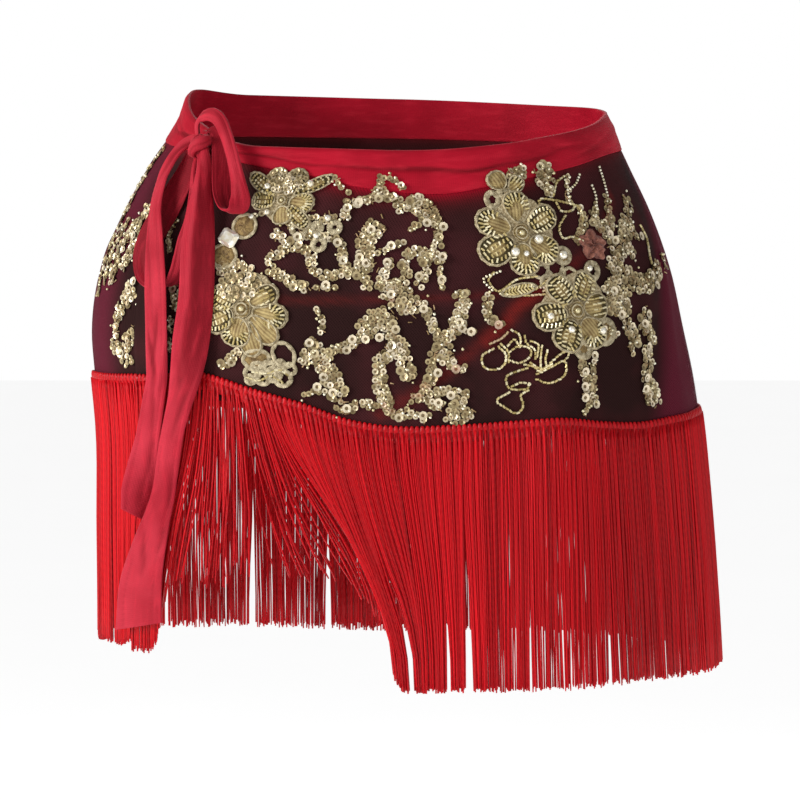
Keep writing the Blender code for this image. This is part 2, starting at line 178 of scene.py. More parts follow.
def read(rows, name, at):
    """The named column at these values of the first one, on a smooth cubic through its rows with slopes
    from their neighbours."""
    keys = next(iter(rows.values()))
    order = np.argsort(keys)
    keys, values = keys[order], rows[name][order]
    slopes = np.gradient(values, keys)
    at = np.clip(at, keys[0], keys[-1])
    row = np.clip(np.searchsorted(keys, at) - 1, 0, len(keys) - 2)
    gap = keys[row + 1] - keys[row]
    t = (at - keys[row]) / gap
    return (
        (1 + 2 * t) * (1 - t) ** 2 * values[row]
        + t * (1 - t) ** 2 * gap * slopes[row]
        + t**2 * (3 - 2 * t) * values[row + 1]
        + t**2 * (t - 1) * gap * slopes[row + 1]
    )


def ease(value, start, end):
    """0 before start, 1 after end, and a smooth step between."""
    t = np.clip((np.asarray(value, float) - start) / (end - start), 0, 1)
    return t * t * (3 - 2 * t)


def within(value, begins, full, fades, ends):
    """1 from full to fades and 0 outside begins and ends, with a smooth step on each side."""
    return ease(value, begins, full) * (1 - ease(value, fades, ends))


def unit(vectors):
    """The vectors at length 1."""
    return vectors / np.linalg.norm(vectors, axis=-1, keepdims=True)


def rotated(first, second, degrees):
    """Two directions square to each other, turned in their plane, the first toward the second."""
    cosine, sine = np.cos(np.radians(degrees)), np.sin(np.radians(degrees))
    return first * cosine + second * sine, second * cosine - first * sine


def whole_turn(steps):
    """So many even steps of a whole turn, in radians."""
    return np.arange(steps) * 2 * np.pi / steps


def stacked(*parts):
    """The parts side by side along a last axis, each repeated where it is smaller."""
    return np.stack(np.broadcast_arrays(*parts), -1)


def hip_half(side, negative, positive, level):
    """The hips' half size at a level, from one column where side is below 0 and the other elsewhere."""
    return np.where(side < 0, read(HIPS, negative, level), read(HIPS, positive, level))


def hip_points(angle, level, out):
    """Points on the hips' sections: |x/a|^n + |y/b|^n = 1 with each side's own half-width and depth,
    moved out along the section's normal."""
    angle, level, out = np.broadcast_arrays(*(np.asarray(at, float) for at in (angle, level, out)))
    cosine, sine = np.cos(np.radians(angle)), np.sin(np.radians(angle))
    wide = hip_half(cosine, "left", "right", level)
    deep = hip_half(sine, "front", "back", level)
    x = np.sign(cosine) * np.abs(cosine) ** (2 / ROUNDNESS)
    y = np.sign(sine) * np.abs(sine) ** (2 / ROUNDNESS)
    across = np.sign(x) * np.abs(x) ** (ROUNDNESS - 1) / wide
    ahead = np.sign(y) * np.abs(y) ** (ROUNDNESS - 1) / deep
    length = np.hypot(across, ahead)
    return stacked(wide * x + out * across / length, deep * y + out * ahead / length, level)


def lift(angle):
    """The wrap's outer end stands off the hips, and the end beneath it dips in."""
    outer = OUTER_END_LIFT * (1 - ease(angle, OUTER_LIFT_FROM, OUTER_LIFT_TO))
    beneath = END_BENEATH_DIP * ease(angle, DIP_FROM, DIP_TO)
    return outer - beneath


def flute(angle, level):
    """The hanging folds: bell-shaped ridges and troughs round the wrap that grow down to the hem."""
    angle = np.asarray(angle, float)[..., None]
    bells = FLUTES["depth"] * np.exp(-(((angle - FLUTES["angle"]) / FLUTES["spread"]) ** 2))
    return bells.sum(-1) * ease(-np.asarray(level, float), -FLUTE_START, -FLUTE_FULL)


def creases(rows, along, down):
    """Soft troughs and ridges on cloth measured in mm along and down it: each row is a line from one
    place to another, with a bell across it and a rise and fall along it."""
    height = np.zeros(np.broadcast(along, down).shape)
    for along_from, down_from, along_to, down_to, depth, spread in zip(*rows.values()):
        step = np.array([along_to - along_from, down_to - down_from], float)
        length = np.hypot(*step)
        step = step / length
        ahead = (along - along_from) * step[0] + (down - down_from) * step[1]
        aside = (down - down_from) * step[0] - (along - along_from) * step[1]
        share = np.clip(ahead / length, 0, 1)
        beyond = ahead - share * length
        bell = np.exp(-(aside**2 + beyond**2) / spread**2)
        height += depth * bell * (CREASE_END + (1 - CREASE_END) * np.sin(np.pi * share))
    return height


def drag(angle, level):
    """The net's drag lines, which die away beside the band and the braid."""
    scales = (MM_PER_DEGREE, 1, MM_PER_DEGREE, 1, 1, 1)
    drawn = {name: column * scale for (name, column), scale in zip(DRAG_LINES.items(), scales)}
    below_band = read(WRAP, "band_bottom", angle) - level
    above_braid = level - read(WRAP, "braid_top", angle)
    free = ease(below_band, 0, CALM_BELOW_BAND) * ease(above_braid, 0, CALM_ABOVE_BRAID)
    return creases(drawn, np.asarray(angle) * MM_PER_DEGREE, -np.asarray(level, float)) * free


def cloth_points(angle, level, out):
    """Points of the worn cloth, moved out from its middle surface."""
    return hip_points(angle, level, lift(angle) + flute(angle, level) + drag(angle, level) + out)


def slid_points(angle, level, out, across):
    """Points of the cloth, carried this far round the hips at their own level."""
    here = hip_points(angle, level, 0)
    beside = hip_points(angle + SLIDE_STEP, level, 0)
    degrees = across * SLIDE_STEP / np.linalg.norm(beside - here, axis=-1)
    return cloth_points(angle + degrees, level, out)


def cloth_directions(angle, level, out, across):
    """At places on the cloth: the places, and the directions round it, up it and out of it."""
    here = slid_points(angle, level, out, across)
    sideways = unit(slid_points(angle, level, out, across + 1) - here)
    outward = unit(np.cross(sideways, slid_points(angle, level + 1, out, across) - here))
    return here, sideways, np.cross(outward, sideways), outward


def cloth_run(angle, level):
    """Millimetres of cloth from the outer end to each angle, along one level for each."""
    points = cloth_points(angle, level, 0)
    steps = np.linalg.norm(np.diff(points, axis=0), axis=-1)
    return np.concatenate([np.zeros_like(steps[:1]), np.cumsum(steps, axis=0)])


def evenly(places, step):
    """A smooth line through places, read again at even steps of cloth: its angles and levels."""
    line = {"row": np.arange(len(places), dtype=float), "angle": places[:, 0], "level": places[:, 1]}
    at = np.linspace(0, len(places) - 1, 24 * len(places))
    angle, level = (read(line, name, at) for name in ("angle", "level"))
    run = cloth_run(angle, level)
    even = np.linspace(0, run[-1], max(2, int(round(run[-1] / step)) + 1))
    return np.interp(even, run, angle), np.interp(even, run, level)


# -------- meshes from arrays


def grid_faces(rows, columns, ring=False, closed=False):
    """Quads over a grid of points numbered row by row. ring joins the last column to the first, and
    closed joins the last row to the first."""
    row, column = np.indices((rows - (not closed), columns - (not ring)))
    here, below = row * columns, (row + 1) % rows * columns
    beside = (column + 1) % columns
    return stacked(here + column, here + beside, below + beside, below + column).reshape(-1, 4)


def repeated(faces, count, stride):
    """The same faces for each of count shapes whose points follow one another."""
    return (faces[None] + np.arange(count)[:, None, None] * stride).reshape(-1, faces.shape[1])


def stack_faces(rings, around, count=1):
    """Faces of count stacks of rings that follow one another, each stack closed at both its ends."""
    stride, end = rings * around, np.arange(around)[None]
    kinds = grid_faces(rings, around, ring=True), end[:, ::-1], end + stride - around
    return [repeated(kind, count, stride) for kind in kinds]


def shell(outer, inner):
    """A closed thin wall between two grids of stations by points down: (points, faces)."""
    ring = np.concatenate([outer, inner[:, ::-1]], axis=1)
    stations, around = ring.shape[:2]
    down = np.arange(around // 2 - 1)
    end = stacked(down, down + 1, around - 2 - down, around - 1 - down)
    faces = [grid_faces(stations, around, ring=True), end[:, ::-1], end + (stations - 1) * around]
    return ring, np.concatenate(faces)


def both_sides(values):
    """Values on a shell's outer grid, given to its inner grid too, in the shell's order of points."""
    return np.concatenate([values, values[:, ::-1]], axis=1)


def tubes(middle, outward, across, thick, sides, closed=False):
    """Cords along paths, an array of paths by stations by 3: an ellipse of so many sides is carried
    along each. Returns (points, faces, uv), with uv as run along the path and turn round it."""
    if closed:
        along = np.roll(middle, -1, axis=1) - np.roll(middle, 1, axis=1)
    else:
        along = np.gradient(middle, axis=1)
    along = unit(along)
    sideways = unit(np.cross(outward, along))
    outward = np.cross(along, sideways)
    turn = whole_turn(sides)
    wide = np.asarray(across)[..., None] * np.cos(turn)
    high = np.asarray(thick)[..., None] * np.sin(turn)
    points = middle[:, :, None] + sideways[:, :, None] * wide[..., None]
    points = points + outward[:, :, None] * high[..., None]
    paths, stations = middle.shape[:2]
    if closed:
        faces = [repeated(grid_faces(stations, sides, ring=True, closed=True), paths, stations * sides)]
    else:
        faces = stack_faces(stations, sides, paths)
    run = np.linalg.norm(np.diff(middle, axis=1), axis=-1).cumsum(axis=1)
    run = np.concatenate([np.zeros((paths, 1)), run], axis=1)
    uv = stacked(run[..., None], turn / (2 * np.pi))
    return points, faces, uv


def add_piece(name, points, faces, finish, uv=None, smooth=True, values=None):
    """A mesh object from points in millimetres and arrays of faces. uv is in millimetres too, and
    values names numbers that each point carries for its finish. All three may be grids of points."""
    points = points.reshape(-1, 3)
    faces = [kind for kind in faces if len(kind)]
    corners = np.concatenate([kind.ravel() for kind in faces]).astype(np.int32)
    sizes = np.concatenate([np.full(len(kind), kind.shape[1]) for kind in faces])
    mesh = bpy.data.meshes.new(name)
    mesh.vertices.add(len(points))
    mesh.vertices.foreach_set("co", (points * METRE).astype(np.float32).ravel())
    mesh.loops.add(len(corners))
    mesh.loops.foreach_set("vertex_index", corners)
    mesh.polygons.add(len(sizes))
    mesh.polygons.foreach_set("loop_start", (np.cumsum(sizes) - sizes).astype(np.int32))
    mesh.polygons.foreach_set("use_smooth", np.full(len(sizes), smooth))
    if uv is not None:
        layer = mesh.uv_layers.new(name="cloth")
        layer.data.foreach_set("uv", (uv.reshape(-1, 2)[corners] * METRE).astype(np.float32).ravel())
    for key, value in (values or {}).items():
        attribute = mesh.attributes.new(key, "FLOAT", "POINT")
        attribute.data.foreach_set("value", np.asarray(value, np.float32).ravel())
    mesh.update(calc_edges=True)
    mesh.validate()
    mesh.materials.append(finish)
    piece = bpy.data.objects.new(name, mesh)
    bpy.context.scene.collection.objects.link(piece)
    return piece


def sew_on(name, points, faces, finish, slot, *nodes, **more):
    """A piece that rides on the one body, takes the given finish and stands for the nodes, which it hides.
    The slot is not used.
    """
    piece = add_piece(name, points, faces, finish, **more)
    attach(piece, "root")
    if nodes:
        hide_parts(*nodes)
    return piece


# -------- finishes


class Shade:
    """A shader value in an expression: each operator adds one Math node to its finish."""

    def __init__(self, finish, socket):
        self.finish, self.socket = finish, socket

    def math(self, operation, first, second):
        return self.finish.node("ShaderNodeMath", {"operation": operation}, {0: first, 1: second})

    def __add__(self, other):
        return self.math("ADD", self, other)

    def __rsub__(self, other):
        return self.math("SUBTRACT", other, self)

    def __mul__(self, other):
        return self.math("MULTIPLY", self, other)

    __radd__, __rmul__ = __add__, __mul__


class Nodes:
    """The nodes of a material, or of the studio's surroundings."""

    def __init__(self, owner):
        owner.use_nodes = True
        self.tree = owner.node_tree

    def node(self, kind, settings=None, inputs=None, output=0):
        """Any node: its settings first, then the values or links of its sockets."""
        node = self.tree.nodes.new(kind)
        for key, value in (settings or {}).items():
            setattr(node, key, value)
        for key, value in (inputs or {}).items():
            if isinstance(value, Shade):
                self.tree.links.new(value.socket, node.inputs[key])
            else:
                node.inputs[key].default_value = value
        return Shade(self, node.outputs[output])


class Finish(Nodes):
    """One material: its Principled shader's own values, and the nodes that vary over the surface."""

    def __init__(self, name, **fixed):
        self.material = bpy.data.materials.new(name)
        super().__init__(self.material)
        self.shader = self.tree.nodes["Principled BSDF"]
        for key, value in fixed.items():
            self.shader.inputs[key.replace("_", " ")].default_value = value

    def carried(self, name):
        """A number that the mesh carries at each point."""
        return self.node("ShaderNodeAttribute", {"attribute_name": name}, output="Fac")

    def place(self, own_map=False):
        """Object coordinates, or the piece's own map of the cloth."""
        return self.node("ShaderNodeTexCoord", output="UV" if own_map else "Object")

    def scaled(self, place, *factors):
        """The place times a factor along each axis."""
        return self.node("ShaderNodeMapping", None, {"Vector": place, "Scale": factors})

    def noise(self, place, scale, detail=2.0, roughness=0.5):
        inputs = {"Vector": place, "Scale": scale, "Detail": detail, "Roughness": roughness}
        return self.node("ShaderNodeTexNoise", None, inputs)

    def waves(self, place, direction, profile="SIN"):
        """Even bands across one axis of the place, one for each unit."""
        settings = {"bands_direction": direction, "wave_profile": profile}
        return self.node("ShaderNodeTexWave", settings, {"Vector": place, "Scale": np.pi / 10})

    def mix(self, share, *colours):
        """From the first colour to the second. A plain one is three screen values or four linear ones."""
        first, second = (
            paint(*colour) if isinstance(colour, tuple) and len(colour) == 3 else colour for colour in colours
        )
        inputs = {0: share, 6: first, 7: second}
        return self.node("ShaderNodeMix", {"data_type": "RGBA"}, inputs, output=2)

    def spread(self, value, low, high):
        """The value with low brought to 0 and high to 1."""
        inputs = {"Value": value, "From Min": low, "From Max": high}
        return self.node("ShaderNodeMapRange", None, inputs)

    def relief(self, height, distance, strength=1.0):
        """A bump of this depth in metres."""
        inputs = {"Height": height, "Distance": distance, "Strength": strength}
        return self.node("ShaderNodeBump", None, inputs)

    def varies(self, **sockets):
        for key, value in sockets.items():
            self.tree.links.new(value.socket, self.shader.inputs[key.replace("_", " ")])
        return self.material


def paint(red, green, blue):
    """A linear colour for a shader from one in screen values up to 255."""
    screen = np.array([red, green, blue]) / 255
    linear = np.where(screen <= 0.04045, screen / 12.92, ((screen + 0.055) / 1.055) ** 2.4)
    return (*(float(part) for part in linear), 1.0)


NET_DARK, NET_WARM = (42, 22, 21), (66, 31, 33)
NET_SHEER, NET_STREAK = (94, 28, 44), (124, 34, 30)
NET_OVER_BAND = (150, 8, 32)
NET_HOLE = (0.006, 0.002, 0.003, 1)
NET_HOLES_PER_METRE = 900


def net_finish():
    """Fine stretch net: a small diamond weave, warmer in cloudy patches, redder where it lies by the
    band or over a folded streak, and sheer purple-red at both hips."""
    finish = Finish("net", Roughness=0.8, Specular_IOR_Level=0.05)
    place = finish.place()
    cloud = finish.spread(finish.noise(place, 22, 3), 0.42, 0.68)
    cloth = finish.place(own_map=True)
    aslant = {"Vector": cloth, "Rotation": (0, 0, np.pi / 4), "Scale": (NET_HOLES_PER_METRE,) * 3}
    turned = finish.node("ShaderNodeMapping", None, aslant)
    weave = finish.waves(turned, "X") * finish.waves(turned, "Y")
    colour = finish.mix(cloud, NET_DARK, NET_WARM)
    colour = finish.mix(finish.carried("sheer"), colour, NET_SHEER)
    colour = finish.mix(finish.carried("streak"), colour, NET_STREAK)
    colour = finish.mix(finish.carried("over_band"), colour, NET_OVER_BAND)
    shaded = finish.mix(weave * 0.45, colour, NET_HOLE)
    grain = finish.noise(cloth, 1400, 1)
    return finish.varies(
        Base_Color=shaded,
        Roughness=0.74 + 0.2 * cloud,
        Alpha=1 - finish.carried("open") * finish.spread(weave, 0.0, 0.55),
        Normal=finish.relief(weave + 0.4 * grain, 0.00022, 0.7),
    )


def jersey_finish(name, deep, light, sheen):
    """Soft knitted jersey: fine wales along the strip, a velvety sheen, and painted shade: deeper colour in
    the folds, on inner faces and on turned-away sides.
    """
    finish = Finish(
        name,
        Specular_IOR_Level=0.15,
        Sheen_Weight=sheen,
        Sheen_Roughness=0.3,
        Sheen_Tint=(1.0, 0.42, 0.46, 1),
    )
    cloth = finish.place(own_map=True)
    wales = finish.waves(finish.scaled(cloth, 1200, 1200, 1200), "Y")
    courses = finish.waves(finish.scaled(cloth, 900, 900, 900), "X")
    slub = finish.noise(finish.scaled(cloth, 60, 260, 60), 1, 3)
    cloud = finish.noise(finish.place(), 35, 2)
    colour = finish.mix(finish.spread(cloud, 0.35, 0.7), deep, light)
    # Painted shade: the fold value the mesh carries darkens the jersey in creases, on loops' inner faces and
    # on sides turned from the light.
    colour = finish.mix(finish.carried("fold"), colour, (118, 0, 18))
    colour = finish.mix(finish.spread(slub, 0.5, 0.8) * 0.35, colour, (214, 40, 60))
    return finish.varies(
        Base_Color=colour,
        Roughness=0.58 + 0.16 * cloud,
        Normal=finish.relief(wales + 0.6 * courses + slub, 0.00014, 0.45),
    )


def rayon_finish(name, ply_per_metre):
    """Twisted rayon: a fine ply turning round each cord with a painted highlight along it, every cord its own
    shade of red, painted shade where it lies deep, a gloss.
    """
    finish = Finish(name, Specular_IOR_Level=0.18)
    cord = finish.place(own_map=True)
    twist = finish.waves(finish.scaled(cord, ply_per_metre, 1000, 1), "DIAGONAL")
    shade = finish.carried("shade")
    colour = finish.mix(shade, (154, 0, 12), (206, 4, 22))
    # Painted shade where the mesh marks cords or braid hollows as deep.
    colour = finish.mix(finish.carried("deep") * 0.8, colour, (112, 0, 6))
    return finish.varies(
        # Painted highlight: the colour lightens along the ply's twist.
        Base_Color=finish.mix(twist * 0.12, colour, (236, 40, 34)),
        Roughness=0.36 + 0.14 * shade,
        Normal=finish.relief(twist, 0.00018, 0.6),
    )


HOLE = (112, 92, 60)  # what shows through a sequin's hole


def metal_finish(name, deep, mid, light, roughness, metallic, coat=0.0):
    """Metallised beads or sequins: each its own tone between three, worn a little, blushing over the
    red streak."""
    finish = Finish(name, Metallic=metallic, Coat_Weight=coat, Coat_Roughness=0.08)
    tone = finish.carried("shade")
    colour = finish.mix(finish.spread(tone, 0.0, 0.5), deep, mid)
    colour = finish.mix(finish.spread(tone, 0.5, 1.0), colour, light)
    colour = finish.mix(finish.spread(tone, 0.0, 0.1), HOLE, colour)
    worn = finish.noise(finish.place(), 700, 2)
    colour = finish.mix(finish.spread(worn, 0.5, 0.9) * 0.4, colour, deep)
    colour = finish.mix(finish.carried("blush") * 0.5, colour, (168, 92, 68))
    return finish.varies(
        Base_Color=colour,
        Roughness=roughness + 0.18 * worn,
        Normal=finish.relief(worn, 0.0001, 0.3),
    )


def thread_finish(name, deep, light, metallic):
    """Embroidery in metallic thread: close stitches across the work, with a fine ply in each."""
    finish = Finish(name, Metallic=metallic, Specular_IOR_Level=0.5)
    work = finish.place(own_map=True)
    stitch = finish.waves(finish.scaled(work, 1400, 1, 1), "X")
    ply = finish.waves(finish.scaled(work, 2600, 2600, 1), "DIAGONAL")
    patch = finish.spread(finish.noise(finish.place(), 460, 3), 0.36, 0.64)
    colour = finish.mix(stitch * 0.4 + 0.6 * patch, deep, light)
    return finish.varies(
        Base_Color=colour,
        Roughness=0.38 + 0.25 * patch,
        Normal=finish.relief(stitch + 0.3 * ply, 0.0003, 0.8),
    )


def petal_finish():
    """A petal: gold silk stitched along it with brown patches, dark under its beads, and a rim of pale
    close lace."""
    finish = Finish("petals", Metallic=0.12, Specular_IOR_Level=0.4)
    work = finish.place(own_map=True)
    stitch = finish.waves(finish.scaled(work, 1700, 1, 1), "X")
    patch = finish.spread(finish.noise(finish.place(), 190, 3), 0.38, 0.68)
    bundle = finish.waves(finish.scaled(work, 560, 40, 1), "X")
    thread = 0.2 * stitch + 0.4 * bundle + 0.4 * patch
    silk = finish.mix(thread, (104, 74, 30), (208, 186, 128))
    lumps = finish.noise(work, 900, 2)
    lace = finish.mix(finish.spread(lumps, 0.35, 0.7), (138, 118, 80), (212, 196, 160))
    colour = finish.mix(finish.carried("dark"), silk, (74, 62, 32))
    return finish.varies(
        Base_Color=finish.mix(finish.carried("rim"), colour, lace),
        Roughness=0.42 + 0.3 * patch,
        Normal=finish.relief(0.7 * stitch + 1.4 * lumps, 0.00035, 0.8),
    )


def organza_finish():
    """Thin crumpled organza: dull rose, paler along its folds as a painted highlight."""
    finish = Finish("organza", Specular_IOR_Level=0.3, Sheen_Weight=0.3, Sheen_Tint=(1.0, 0.7, 0.64, 1))
    # Painted highlight: the folds' noise lightens the colour, and it also gives their bumps and roughness.
    fold = finish.spread(finish.noise(finish.place(), 420, 3, 0.6), 0.35, 0.7)
    return finish.varies(
        Base_Color=finish.mix(fold, (98, 50, 42), (168, 108, 88)),
        Roughness=0.45 + 0.3 * fold,
        Normal=finish.relief(fold, 0.0006, 0.8),
    )


def stone_finish():
    """Clear foiled stones and pearls: pale, hard and bright, with sparkle painted as brighter patches."""
    finish = Finish("stones", Metallic=0.55, Coat_Weight=0.8, Coat_Roughness=0.03)
    # Painted sparkle: brighter patches from a noise, which also varies the roughness.
    painted_sparkle = finish.noise(finish.place(), 420, 2)
    return finish.varies(
        Base_Color=finish.mix(finish.spread(painted_sparkle, 0.4, 0.65), (226, 216, 190), (250, 248, 240)),
        Roughness=0.08 + 0.12 * painted_sparkle,
    )


NET = net_finish()
# One jersey in two copies: the band's colours are painted darker, as in shade, and the tie's are painted
# lighter, as where the light catches it.
BAND_JERSEY_SHADED = jersey_finish("band_jersey_shaded", (152, 2, 28), (172, 8, 36), 0.04)
TIE_JERSEY_LIT = jersey_finish("tie_jersey_lit", (156, 20, 38), (182, 42, 58), 0.2)
BRAID = rayon_finish("braid", 700)
CORDS = rayon_finish("fringe_cords", 420)
SEQUINS = metal_finish("sequins", (110, 90, 52), (178, 160, 118), (244, 230, 204), 0.3, 0.55, 0.3)
BUGLES = metal_finish("bugle_beads", (130, 110, 56), (204, 184, 122), (252, 242, 204), 0.2, 0.5, 0.5)
STITCHES = metal_finish("stitches", (98, 66, 36), (154, 126, 82), (196, 162, 122), 0.5, 0.1)
SEEDS = metal_finish("seed_beads", (168, 150, 92), (226, 214, 170), (255, 250, 228), 0.2, 0.45, 0.5)
THREAD = thread_finish("gold_thread", (84, 58, 26), (166, 138, 84), 0.2)
LACE = thread_finish("lace_cord", (110, 92, 58), (220, 206, 170), 0.1)
STONES = stone_finish()
PETAL = petal_finish()
ORGANZA = organza_finish()

# -------- the panel

NET_WALL = 0.5
NET_STEPS_ROUND, NET_STEPS_DOWN = 372, 52
TUCKED_UNDER_BAND, TURNED_UNDER_BRAID = 3.0, 5.0

# Lines of folded cloth that show dark red through the net: width and strength, then angle and level
# along each.
STREAKS = sewn_lines("""
3.4 0.4: 268 -160, 277 -139, 284 -122
4.2 0.85: 284.5 -121, 288 -114, 290.3 -106.5, 292.8 -100.5, 296 -96.5, 299 -91
3.4 0.45: 299 -92, 304 -84, 315 -68, 326 -44
2.2 0.26: 248 -99, 256 -99.5, 266 -99, 278 -98, 288 -96
""")


# Stretches of the wrap where the net or the band looks otherwise: where each begins, is full, fades, ends.
SHEER_BACK = (526, 556, 559, 571)
RED_BY_BAND = (236, 250, 292, 312)
OPEN_PATCH = (344, 352, 374, 384)
STREAKED = (222, 232, 545, 560)
SINGLE_ROLL = (302, 322, 372, 392)
SHEER_HIP_START, SHEER_HIP_SLANT, SHEER_HIP_LEVEL = 334, 0.18, -102  # degrees, degrees in a mm, mm
BAND_GLOW = 3.2  # mm below the band in which its red fades


def band_bottom(angle):
    return read(WRAP, "band_bottom", angle)


def streak(angle, level):
    """How much a place shows a streak beneath the net, from 0 to 1."""
    angle, level = np.broadcast_arrays(np.asarray(angle, float), np.asarray(level, float))
    base = (angle - WRAP_START) % FABRIC_REPEAT + WRAP_START
    shown = np.zeros(angle.shape)
    per_degree = cloth_run(np.array([270.0, 271.0]), np.array([-100.0, -100.0]))[-1]
    for width, strength, line in STREAKS:
        away = np.full(angle.shape, np.inf)
        for at_angle, at_level in zip(*evenly(line, 3)):
            away = np.minimum(away, np.hypot((base - at_angle) * per_degree, level - at_level))
        shown = np.maximum(shown, strength * np.exp(-((away / width) ** 2)))
    return shown


def add_panel():
    """The net, a thin wall from under the band to under the braid, with its drag lines."""
    angle = np.linspace(WRAP_START, WRAP_END, NET_STEPS_ROUND + 1)[:, None]
    top = band_bottom(angle) + TUCKED_UNDER_BAND
    bottom = read(WRAP, "braid_top", angle) - TURNED_UNDER_BRAID
    level = top + (bottom - top) * np.linspace(0, 1, NET_STEPS_DOWN + 1)
    angle = np.broadcast_to(angle, level.shape)
    run = cloth_run(angle, level)
    points, faces = shell(*(cloth_points(angle, level, side * NET_WALL / 2) for side in (1, -1)))
    start = SHEER_HIP_START + SHEER_HIP_SLANT * (level - SHEER_HIP_LEVEL)
    hip = within(angle, start - 2, start + 7, 378, 396)
    beside_band = np.exp(-np.maximum(band_bottom(angle) - level, 0) / BAND_GLOW)
    front = within(angle, *RED_BY_BAND) + 0.5 * ease(angle, 560, 575)
    patch = within(angle, *OPEN_PATCH) * ease(-level, 108, 134)
    values = {
        "sheer": np.maximum(hip, 0.85 * within(angle, *SHEER_BACK)),
        "streak": streak(angle, level) * within(angle, *STREAKED),
        "over_band": beside_band * (0.25 + 0.75 * np.clip(front, 0, 1)),
        "open": 0.12 * hip + 0.62 * patch,
    }
    values = {key: both_sides(value) for key, value in values.items()}
    uv = both_sides(stacked(run, -level))
    return sew_on("hip_panel", points, [faces], NET, "mesh", "mesh_panel", uv=uv, values=values)


# -------- the folded band

BAND_STEPS_ROUND = 380
BAND_PLY, BAND_BACK_OUT = 0.7, -0.45  # mm of one ply, and where the inner ply's face lies

# The band's outer ply, as share of its depth and mm out: an upper roll, a fold line, a lower roll.
BAND_OUTER = table("""
down out
0 0.35
0.05 1.25
0.16 1.75
0.32 1.9
0.44 1.6
0.5 0.95
0.56 1.35
0.7 1.7
0.88 1.5
0.97 1.15
1 0.75
""")
BAND_POINTS = 26
FOLD_SWAY = ((97, 0.07), (41, 0.035))  # how the fold line wanders: wavelength and share of the depth

# Creases in the band, along the cloth and down from its upper edge.
BAND_CREASES = table("""
along down along_to down_to depth spread
30 3 90 6 -0.6 1.4
60 2 150 4 0.5 1.6
96 9 176 13 -0.6 1.5
120 15 220 19 0.5 1.8
176 4 236 9 -0.5 1.5
210 14 262 7 -0.7 1.7
246 12 300 5 0.6 1.8
282 16 344 9 -0.6 1.8
320 6 372 14 -0.5 1.7
360 15 410 6 0.6 2
404 5 470 12 -0.6 1.8
452 16 520 10 0.6 2
500 6 590 14 -0.6 1.9
560 18 640 10 0.5 2
618 5 700 12 -0.6 1.8
690 18 760 8 -0.6 1.9
742 7 806 15 0.6 1.8
""")


def add_band():
    """The band: a strip of jersey folded over the panel's edge, its outer ply in two soft rolls and its
    inner ply flat, joined by the fold along the top."""
    angle = np.linspace(WRAP_START, WRAP_END, BAND_STEPS_ROUND + 1)[:, None]
    top = read(WRAP, "band_top", angle)
    deep = top - band_bottom(angle)
    run = cloth_run(angle, top)
    share = np.linspace(0, 1, BAND_POINTS)
    sway = sum(size * np.sin(2 * np.pi * run / length) for length, size in FOLD_SWAY)
    warped = np.clip(share + sway * np.sin(np.pi * share), 0, 1)
    level = top - deep * share
    crease = creases(BAND_CREASES, run, deep * share) * np.sin(np.pi * share)
    folded = read(BAND_OUTER, "out", warped)
    plain = 0.4 + 1.5 * np.sin(np.pi * np.clip(share, 0.04, 0.96)) ** 0.5
    out = folded + (plain - folded) * within(angle, *SINGLE_ROLL) + crease
    face = cloth_points(angle, level, out)
    behind = cloth_points(angle, level - 0.15, np.maximum(out - BAND_PLY, -0.05))
    back_top = cloth_points(angle, level - 0.5, BAND_BACK_OUT)
    back = cloth_points(angle, level, BAND_BACK_OUT - BAND_PLY)
    ring = np.concatenate([face, behind[:, ::-1], back_top[:, 1:], back[:, ::-1]], axis=1)
    depth = deep * share
    down = np.concatenate([depth, depth[:, ::-1], depth[:, 1:], depth[:, ::-1]], axis=1)
    uv = stacked(run, down)
    # Painted shade: the outer ply is darker where it sinks in along the fold line between its rolls; the
    # inner ply gets none.
    sunk_shade = np.clip((1.55 - out) / 0.9, 0, 1) * np.sin(np.pi * share) ** 0.4
    fold = np.concatenate([sunk_shade, sunk_shade[:, ::-1], 0 * sunk_shade[:, 1:], 0 * sunk_shade], axis=1)
    faces, values = stack_faces(*ring.shape[:2]), {"fold": fold}
    return sew_on("waist_band", ring, faces, BAND_JERSEY_SHADED, "jersey", "waistband", uv=uv, values=values)


# -------- the bow

# Each stretch of the tie: where its middle line runs, how wide the ribbon is there, how far it turns
# from lying flat on the hips, and how far its middle stands proud of its edges.
TAIL_LEFT = table("""
across level out width turn cup
-99.5 -14.5 11 4.5 -4 0.8
-103 -14 12.2 6 8 1.2
-108 -18.5 13.4 7.8 16 1.5
-113.2 -27 14.4 8.6 16 1.6
-117.2 -36 14.6 9 14 1.5
-120.8 -50 14.4 10.8 12 1.3
-122.2 -68 14 14.5 10 1
-123 -90 12.8 16 8 0.8
-124 -115 10.6 16 8 0.7
-124 -134 10 14 -2 1.4
-124 -143 10.2 12.5 -12 2
-125.5 -155 10.5 13.5 -10 1.2
-129 -176 9.8 16 -8 0.8
-131.5 -192 9.8 18 -34 0.8
-134.5 -206 9.6 19 -52 0.7
-137.5 -218 9.2 15 -56 0.5
""")
TAIL_RIGHT = table("""
across level out width turn cup
-98.2 -15.5 10.5 4.5 6 0.8
-97.2 -21 12.2 6.8 -18 1.6
-96.4 -30 13.2 9 -32 1.6
-97.4 -40 13.6 11 -36 1.6
-99 -55 13.5 15.5 -38 1.2
-100.8 -72 12.8 18.5 -36 1
-102.6 -97 11.4 19 -32 0.8
-105.8 -121 10.4 20 -24 0.8
-108.5 -138 9.8 18.6 -10 1.2
-111.5 -153 10 17 6 1.8
-115 -168 10 15 4 1.4
-118 -184 9.5 14 -6 1.2
-121 -204 9 14 -10 1.2
-125 -220 9 17.5 -4 1.2
-130.2 -240 9 26 2 1
-134 -260 9 34 2 1
-135 -279.5 9 36 0 0.8
""")
